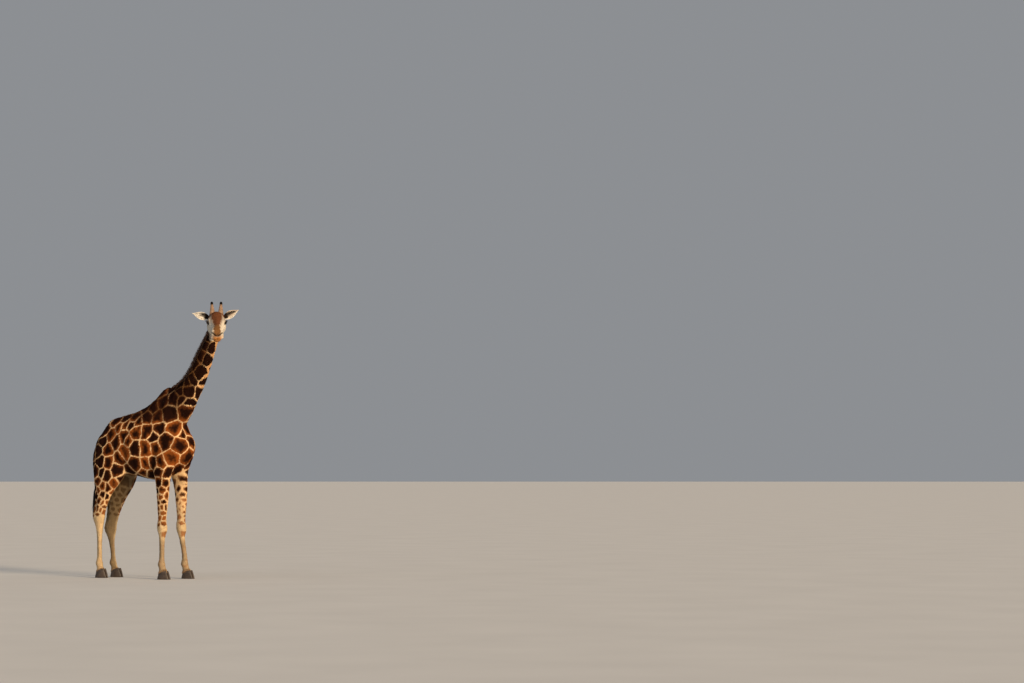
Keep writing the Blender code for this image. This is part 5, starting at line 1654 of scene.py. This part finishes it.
def make_hooves(settings):
    """Two claws to a hoof: rounded sections from sole to coronet, their top tilted
    up to the front by the coronet's slope, each turned a little inward at its toe."""
    material = horn_material(settings)
    z, back, front, half = spread(HOOF, 5).T
    bevel = np.where(np.arange(len(z)) == 0, 0.004, 0.0)
    z = np.where(np.arange(len(z)) == 1, 0.004, z)
    for leg in POSES:
        kind = leg.split("_")[0]
        place = posed(leg, np.array([LEG_TABLES[kind][1] + HOOF_AHEAD[kind], HOOF_OUT[kind], 0.0]))
        claws = []
        for inner in (-1, 1):
            wide = (half - CLAW_GAP) / 2 - bevel
            centres = np.stack([(back + front) / 2, inner * (CLAW_GAP + half) / 2, z], 1)
            reach = (front - back) / 2 - bevel
            rings = sections(centres, FORWARD, LEFTWARD, (reach, reach, wide, wide), (2.5, 2.5), 32)
            toe = rise(rings[..., 0], 0.02, 0.13)
            flank = np.abs(rings[..., 1])
            rings[..., 1] = inner * (CLAW_GAP + (flank - CLAW_GAP) * (1 - 0.42 * toe))
            heel = rise(-rings[..., 0], 0.02, 0.07)
            rings[..., 1] *= 1 - 0.12 * heel
            ahead = rings[..., 0] + HOOF_AHEAD[kind] - 0.02
            rings[..., 2] *= 1 + math.tan(CORONET_SLOPE) * ahead / CORONET_HEIGHT
            points, faces = carried(rings + place)
            claws.append((points, outward(points, faces)))
        points, faces = joined(claws)
        obj = mesh_piece(f"claws_{leg}", in_frame(points), faces)
        dressed(obj, material, f"{leg}_hoof", slot="hoof_horn")
        make_coronet(leg, settings)


def make_mane(settings):
    """Upright hair in four rows along the crest: each
    tuft leans back a little and splays to its own side."""
    material = hair_material("mane hair", settings.mane_dark, settings.mane, 0.03)
    line, ahead, crest, rows = neck_line()
    count = few(8000)
    rng = np.random.default_rng(110)
    share = rng.uniform(MANE[0][0], 1.0, count)
    at = share * (len(line) - 1)
    stations = np.arange(len(line))

    def along(values):
        """Rows of the neck's line, at each tuft's own place between them."""
        return np.stack([np.interp(at, stations, values[:, c]) for c in range(3)], 1)

    depth = np.interp(at, stations, rows[:, 2])
    table = spread(MANE, 6)
    high = np.interp(share, table[:, 0], table[:, 1])
    off = rng.uniform(-1, 1, count)
    root = along(line) + along(crest) * (depth - 0.026)[:, None] + LEFTWARD * 0.014 * off[:, None]
    long = (high + 0.018) * rng.uniform(0.82, 1.0, count)
    clump = 0.1 * ripple(root, 0.05, 31)
    out = along(crest) - along(ahead) * (0.16 + clump + rng.normal(0, 0.05, count))[:, None]
    out = out + LEFTWARD * 0.16 * off[:, None]
    paths = hair_paths(root, out, long, 4, along(ahead) * -0.1)
    turned = rng.uniform(0, np.pi, count)
    across = unit(along(ahead) * np.cos(turned)[:, None] + LEFTWARD * np.sin(turned)[:, None])
    obj = hair("mane_hair", in_frame(paths), across, 0.0042)
    dressed(obj, material, "mane_lower", "mane_upper", slot="dark_hair")


def make_brush(settings):
    """The tail's brush: strands from the end of the tail,
    swelling out to the brush's width and falling straight."""
    material = hair_material("tail hair", settings.hair_dark, settings.mane_dark, 0.05)
    rng = np.random.default_rng(120)
    count = few(1900)
    rows = spread(TAIL_BRUSH, 8)
    begin = rng.uniform(1.18, 1.31, count)
    end = rng.triangular(0.802, 0.86, 1.14, count)
    angle, far = rng.uniform(0, 2 * np.pi, count), np.sqrt(rng.uniform(0.02, 1, count))
    steps = np.linspace(0, 1, 9)
    z = begin[:, None] + (end - begin)[:, None] * steps
    x = np.interp(-z, -rows[:, 1], rows[:, 0])
    reach = np.interp(-z, -rows[:, 1], rows[:, 2]) * 0.97 * far[:, None]
    reach = reach * (0.75 + 0.25 * np.sin(3.1 * angle)[:, None] ** 2)
    twist = (angle[:, None] + 0.5 * steps * np.sin(angle * 5)[:, None]
             + 0.16 * steps * np.sin(angle * 17)[:, None])
    reach = reach * (1 - 0.3 * steps * np.cos(angle * 5 + 3 * far)[:, None] ** 2)
    paths = np.stack([x + reach * np.cos(twist), reach * np.sin(twist), z], 2)
    paths[..., :2] += rng.normal(0, 0.011, (count, 1, 2)) * steps[:, None] ** 2
    across = np.stack([-np.sin(angle), np.cos(angle), np.zeros(count)], 1)
    obj = hair("tail_brush_hair", in_frame(paths), across, 0.0028)
    dressed(obj, material, "tail_brush", slot="dark_hair")


def make_whiskers(settings):
    """Sparse stiff hairs on lips and chin, 15 to 30 mm long."""
    skin = bpy.data.objects["skin"]
    material = hair_material("whisker hair", settings.mane_dark, settings.mane, 0.01)

    def wanted(p):
        """On lips and chin alone."""
        head = to_head(p)
        return (head[:, 0] > 0.5) * (head[:, 2] < -0.085) * 1.0 * (p[:, 2] > 3)

    roots, up, _, _, rng = skin_places(skin, few(110), wanted, 130)
    flow = HEAD_TURN[:, 0] * 0.25 - UPWARD * 0.35
    long = rng.uniform(0.01, 0.02, len(roots))
    out = up * 0.8 + flow + rng.normal(0, 0.12, up.shape)
    paths = hair_paths(roots, out, long, 5, UPWARD * -0.25)
    obj = hair("whiskers", paths, unit(np.cross(out, UPWARD)), 0.0008)
    dressed(obj, material, slot="dark_hair")


# ---------------------------------------------------------------- stage
CAMERA_AT = (24.377, -29.014, 1.42)
CAMERA_RISE, CAMERA_HEADING = 3.05, 32.36  # degrees above level, and round to the left from +Y


def make_stage(settings):
    """A pale round floor, soft light from one side and from all round, and the camera."""
    angle = round_angles(96)
    radii = np.array([0.5, 6.0, 60.0, 2500.0])
    rings = np.stack([radii[:, None] * np.cos(angle), radii[:, None] * np.sin(angle), np.zeros((4, 96))], -1)
    points, faces = carried(rings)
    floor = mesh_piece("floor", points, faces[:2], closed=False)
    made, tree, shader = fresh_material("matt studio floor")
    at = node(tree, "TexCoord").outputs["Object"]
    grain = node(tree, "TexNoise", {"Vector": at, "Scale": 0.8, "Detail": 6.0})
    shade = node(tree, "MapRange", {0: grain, 1: 0.3, 2: 0.7, 3: 0.97, 4: 1.03})
    colour = node(tree, "Mix", {0: 1.0, 6: (*settings.floor, 1), 7: shade},
                  data_type="RGBA", blend_type="MULTIPLY")
    fill(shader, {"Base Color": colour, "Roughness": 0.9})
    floor.data.materials.append(made)

    world = bpy.data.worlds.new("studio")
    world.use_nodes = True
    world.node_tree.nodes["Background"].inputs[0].default_value = (*settings.air, 1)
    world.node_tree.nodes["Background"].inputs[1].default_value = settings.air_strength
    bpy.context.scene.world = world

    for name, heading, height, soft, power, tint in (
            ("key", settings.key_heading, settings.key_height, 14.0, settings.key_power, settings.key_tint),
            ("fill", -105.0, 35.0, 60.0, settings.fill_power, (0.86, 0.92, 1.0))):
        lamp = bpy.data.lights.new(name, "SUN")
        lamp.angle, lamp.energy, lamp.color = math.radians(soft), power, tint[:3]
        obj = bpy.data.objects.new(name, lamp)
        bpy.context.scene.collection.objects.link(obj)
        turned, up = math.radians(heading), math.radians(height)
        level = math.cos(up)
        obj.location = np.array([math.cos(turned) * level, math.sin(turned) * level, math.sin(up)]) * 9
        obj.rotation_euler = (math.pi / 2 - up, 0, turned + math.pi / 2)
    bpy.context.scene.view_settings.view_transform = "Standard"

    lens = bpy.data.cameras.new("camera")
    lens.sensor_width, lens.lens = 36.0, settings.lens
    lens.clip_end = 5000
    camera = bpy.data.objects.new("camera", lens)
    bpy.context.scene.collection.objects.link(camera)
    camera.location = CAMERA_AT
    camera.rotation_euler = (math.radians(90 + CAMERA_RISE), 0, math.radians(CAMERA_HEADING))
    bpy.context.scene.camera = camera


# ---------------------------------------------------------------- settings
def colour(name, description, code):
    """A setting for a colour."""
    return FloatVectorProperty(name=name, description=description, subtype="COLOR", size=3, min=0, max=1,
                               default=linear(code))


def metres(name, description, default):
    """A setting for a length."""
    return FloatProperty(name=name, description=description, default=default, min=0, unit="LENGTH",
                         precision=4)


def number(name, description, default, low=0.0):
    """A setting for a plain number."""
    return FloatProperty(name=name, description=description, default=default, min=low)


class GiraffeCoatSettings(bpy.types.PropertyGroup):
    """Sizes and colours of skin, coat and fittings."""
    skin_grid: metres("Skin grid", "Distance between the points of the skin on the body", 0.0149)
    coat_depth: metres("Coat depth", "How far the skin lies inside the solids", 0.009)
    line_width: metres("Line width", "Breadth of the light lines between patches on the trunk", 0.016)
    tuft_length: metres("Tuft length", "Length of a tuft on the trunk", 0.022)
    tuft_width: metres("Tuft width", "Breadth of a tuft on the trunk", 0.0046)
    tuft_lift: number("Tuft lift", "Rise of a tuft over its length", 0.17)
    pattern_seed: IntProperty(name="Pattern seed", description="Picks another lay of the patches", default=4)
    ground: colour("Lines", "Light hair between the patches", "#DEBD90")
    # partly painted shade: this darker colour also stands for shade on the upper neck, the back and the rump
    back_lines_and_shade: colour("Back lines", "The same along the back and the upper neck", "#664628")
    belly: colour("Belly", "Light hair under the belly", "#CDAF86")
    # partly painted shade: the inner hind legs greyer and darker
    inner_leg_grey_and_shade: colour("Inner leg", "Greyish hair between the hind legs", "#786549")
    inner_patch_faint_and_shade: colour("Inner patch", "Faint patches there", "#57452F")
    # partly painted shade: greyer, darker shins
    shin_grey_and_shade: colour("Shins", "Greyer hair below the knees", "#9A8568")
    stocking: colour("Stockings", "Light hair of the lower legs", "#C6AE88")
    patch: colour("Patch", "Hair at a patch's edge", "#93501F")
    patch_core: colour("Patch core", "Hair in a patch's middle", "#1F0C06")
    patch_pale: colour("Pale patch", "Patches on belly and legs", "#8F5A2E")
    cheek: colour("Cheek", "Light hair of the cheeks and round the eyes", "#CBC3B4")
    brow: colour("Brow", "Forehead and backs of the ears", "#5C3923")
    bridge: colour("Bridge", "Bridge of the nose", "#623C26")
    nose: colour("Nose", "Top of the muzzle, round the nostrils", "#73502F")
    lips: colour("Lips", "Lips and chin", "#A9733F")
    horn_coat: colour("Ossicone", "Hair of the ossicones below their black ends", "#A88D76")
    bare_skin: colour("Bare skin", "Nostrils, mouth line and lid rims", "#1E1512")
    ear_back: colour("Ear back", "Back of the ear", "#A98560")
    ear_inside: colour("Ear inside", "Long pale hair inside the ear", "#DDD8CE")
    ear_hollow: colour("Ear hollow", "Deep inside of the ear", "#1F1510")
    iris: colour("Iris", "Iris of the eye", "#1C120B")
    mane: colour("Mane", "Sunned ends of the mane", "#6B4020")
    mane_dark: colour("Mane root", "Roots of the mane", "#2A1810")
    hair_dark: colour("Black hair", "Tail brush, lashes and ossicone ends", "#0E0A09")
    horn: colour("Horn", "Worn horn of the hooves", "#4A3D33")
    horn_dark: colour("Dark horn", "Horn close to the coronet", "#1E1713")


class GiraffeStudioSettings(bpy.types.PropertyGroup):
    """Floor, lights and lens."""
    floor: colour("Floor", "Colour of the floor", "#D8D6D2")
    air: colour("Air", "Colour of the light from all round", "#E4E8EE")
    air_strength: number("Air strength", "Light from all round", 0.34)
    key_tint: colour("Key tint", "Colour of the main light", "#FFE2BC")
    key_heading: number("Key heading", "Degrees from straight ahead", -20.0, -180.0)
    key_height: number("Key height", "Degrees above level", 13.0)
    key_power: number("Key power", "Strength of the main light", 5.0)
    fill_power: number("Fill power", "Strength of the soft fill", 0.3)
    lens: number("Lens", "Focal length in millimetres", 91.5, 1.0)


class GIRAFFE_OT_skin(bpy.types.Operator):
    """One skin over the whole body, with its markings"""
    bl_idname = "giraffe.skin"
    bl_label = "Skin"
    bl_options = {"REGISTER", "UNDO"}

    def execute(self, context):
        make_skin(context.scene.giraffe_coat)
        return {"FINISHED"}


class GIRAFFE_OT_coat(bpy.types.Operator):
    """Short tufts over the skin"""
    bl_idname = "giraffe.coat"
    bl_label = "Coat"
    bl_options = {"REGISTER", "UNDO"}

    def execute(self, context):
        make_coat(context.scene.giraffe_coat)
        return {"FINISHED"}


class GIRAFFE_OT_eyes(bpy.types.Operator):
    """Both eyeballs"""
    bl_idname = "giraffe.eyes"
    bl_label = "Eyes"
    bl_options = {"REGISTER", "UNDO"}

    def execute(self, context):
        make_eyes(context.scene.giraffe_coat)
        return {"FINISHED"}


class GIRAFFE_OT_lids(bpy.types.Operator):
    """Rims of the lids and the lashes"""
    bl_idname = "giraffe.lids"
    bl_label = "Eyelids"
    bl_options = {"REGISTER", "UNDO"}

    def execute(self, context):
        make_lids(context.scene.giraffe_coat)
        return {"FINISHED"}


class GIRAFFE_OT_ears(bpy.types.Operator):
    """Both ears and their fringes"""
    bl_idname = "giraffe.ears"
    bl_label = "Ears"
    bl_options = {"REGISTER", "UNDO"}

    def execute(self, context):
        make_ears(context.scene.giraffe_coat)
        return {"FINISHED"}


class GIRAFFE_OT_ossicones(bpy.types.Operator):
    """Both ossicones and their black ends"""
    bl_idname = "giraffe.ossicones"
    bl_label = "Ossicones"
    bl_options = {"REGISTER", "UNDO"}

    def execute(self, context):
        make_ossicones(context.scene.giraffe_coat)
        return {"FINISHED"}


class GIRAFFE_OT_hooves(bpy.types.Operator):
    """Four cloven hooves"""
    bl_idname = "giraffe.hooves"
    bl_label = "Hooves"
    bl_options = {"REGISTER", "UNDO"}

    def execute(self, context):
        make_hooves(context.scene.giraffe_coat)
        return {"FINISHED"}


class GIRAFFE_OT_mane(bpy.types.Operator):
    """The upright mane"""
    bl_idname = "giraffe.mane"
    bl_label = "Mane"
    bl_options = {"REGISTER", "UNDO"}

    def execute(self, context):
        make_mane(context.scene.giraffe_coat)
        return {"FINISHED"}


class GIRAFFE_OT_brush(bpy.types.Operator):
    """The long hair of the tail"""
    bl_idname = "giraffe.brush"
    bl_label = "Tail brush"
    bl_options = {"REGISTER", "UNDO"}

    def execute(self, context):
        make_brush(context.scene.giraffe_coat)
        return {"FINISHED"}


class GIRAFFE_OT_whiskers(bpy.types.Operator):
    """Stiff hairs of lips and chin"""
    bl_idname = "giraffe.whiskers"
    bl_label = "Whiskers"
    bl_options = {"REGISTER", "UNDO"}

    def execute(self, context):
        make_whiskers(context.scene.giraffe_coat)
        return {"FINISHED"}


class GIRAFFE_OT_stage(bpy.types.Operator):
    """Floor, light and camera"""
    bl_idname = "giraffe.stage"
    bl_label = "Stage"
    bl_options = {"REGISTER", "UNDO"}

    def execute(self, context):
        make_stage(context.scene.giraffe_studio)
        return {"FINISHED"}


OPERATORS = (GIRAFFE_OT_skin, GIRAFFE_OT_coat, GIRAFFE_OT_eyes, GIRAFFE_OT_lids, GIRAFFE_OT_ears,
             GIRAFFE_OT_ossicones, GIRAFFE_OT_hooves, GIRAFFE_OT_mane, GIRAFFE_OT_brush,
             GIRAFFE_OT_whiskers, GIRAFFE_OT_stage)


class GIRAFFE_PT_panel(bpy.types.Panel):
    """The giraffe's settings and its pieces, in the order they are made."""
    bl_label = "Giraffe"
    bl_idname = "GIRAFFE_PT_panel"
    bl_space_type = "VIEW_3D"
    bl_region_type = "UI"
    bl_category = "Giraffe"

    def draw(self, context):
        """Every setting, then a button for every operator."""
        for group in (context.scene.giraffe_coat, context.scene.giraffe_studio):
            for key in group.__annotations__:
                self.layout.prop(group, key)
        for made in OPERATORS:
            self.layout.operator(made.bl_idname)


CLASSES = (GiraffeCoatSettings, GiraffeStudioSettings, *OPERATORS, GIRAFFE_PT_panel)


def register():
    """Adds the settings, the operators and the panel."""
    for made in CLASSES:
        bpy.utils.register_class(made)
    bpy.types.Scene.giraffe_coat = PointerProperty(type=GiraffeCoatSettings)
    bpy.types.Scene.giraffe_studio = PointerProperty(type=GiraffeStudioSettings)


def unregister():
    """Takes them out again."""
    del bpy.types.Scene.giraffe_studio
    del bpy.types.Scene.giraffe_coat
    for made in reversed(CLASSES):
        bpy.utils.unregister_class(made)


def main():
    """Makes every piece in its order."""
    register()
    for made in OPERATORS:
        getattr(bpy.ops.giraffe, made.bl_idname.split(".")[1])()


if __name__ == "__main__":
    main()
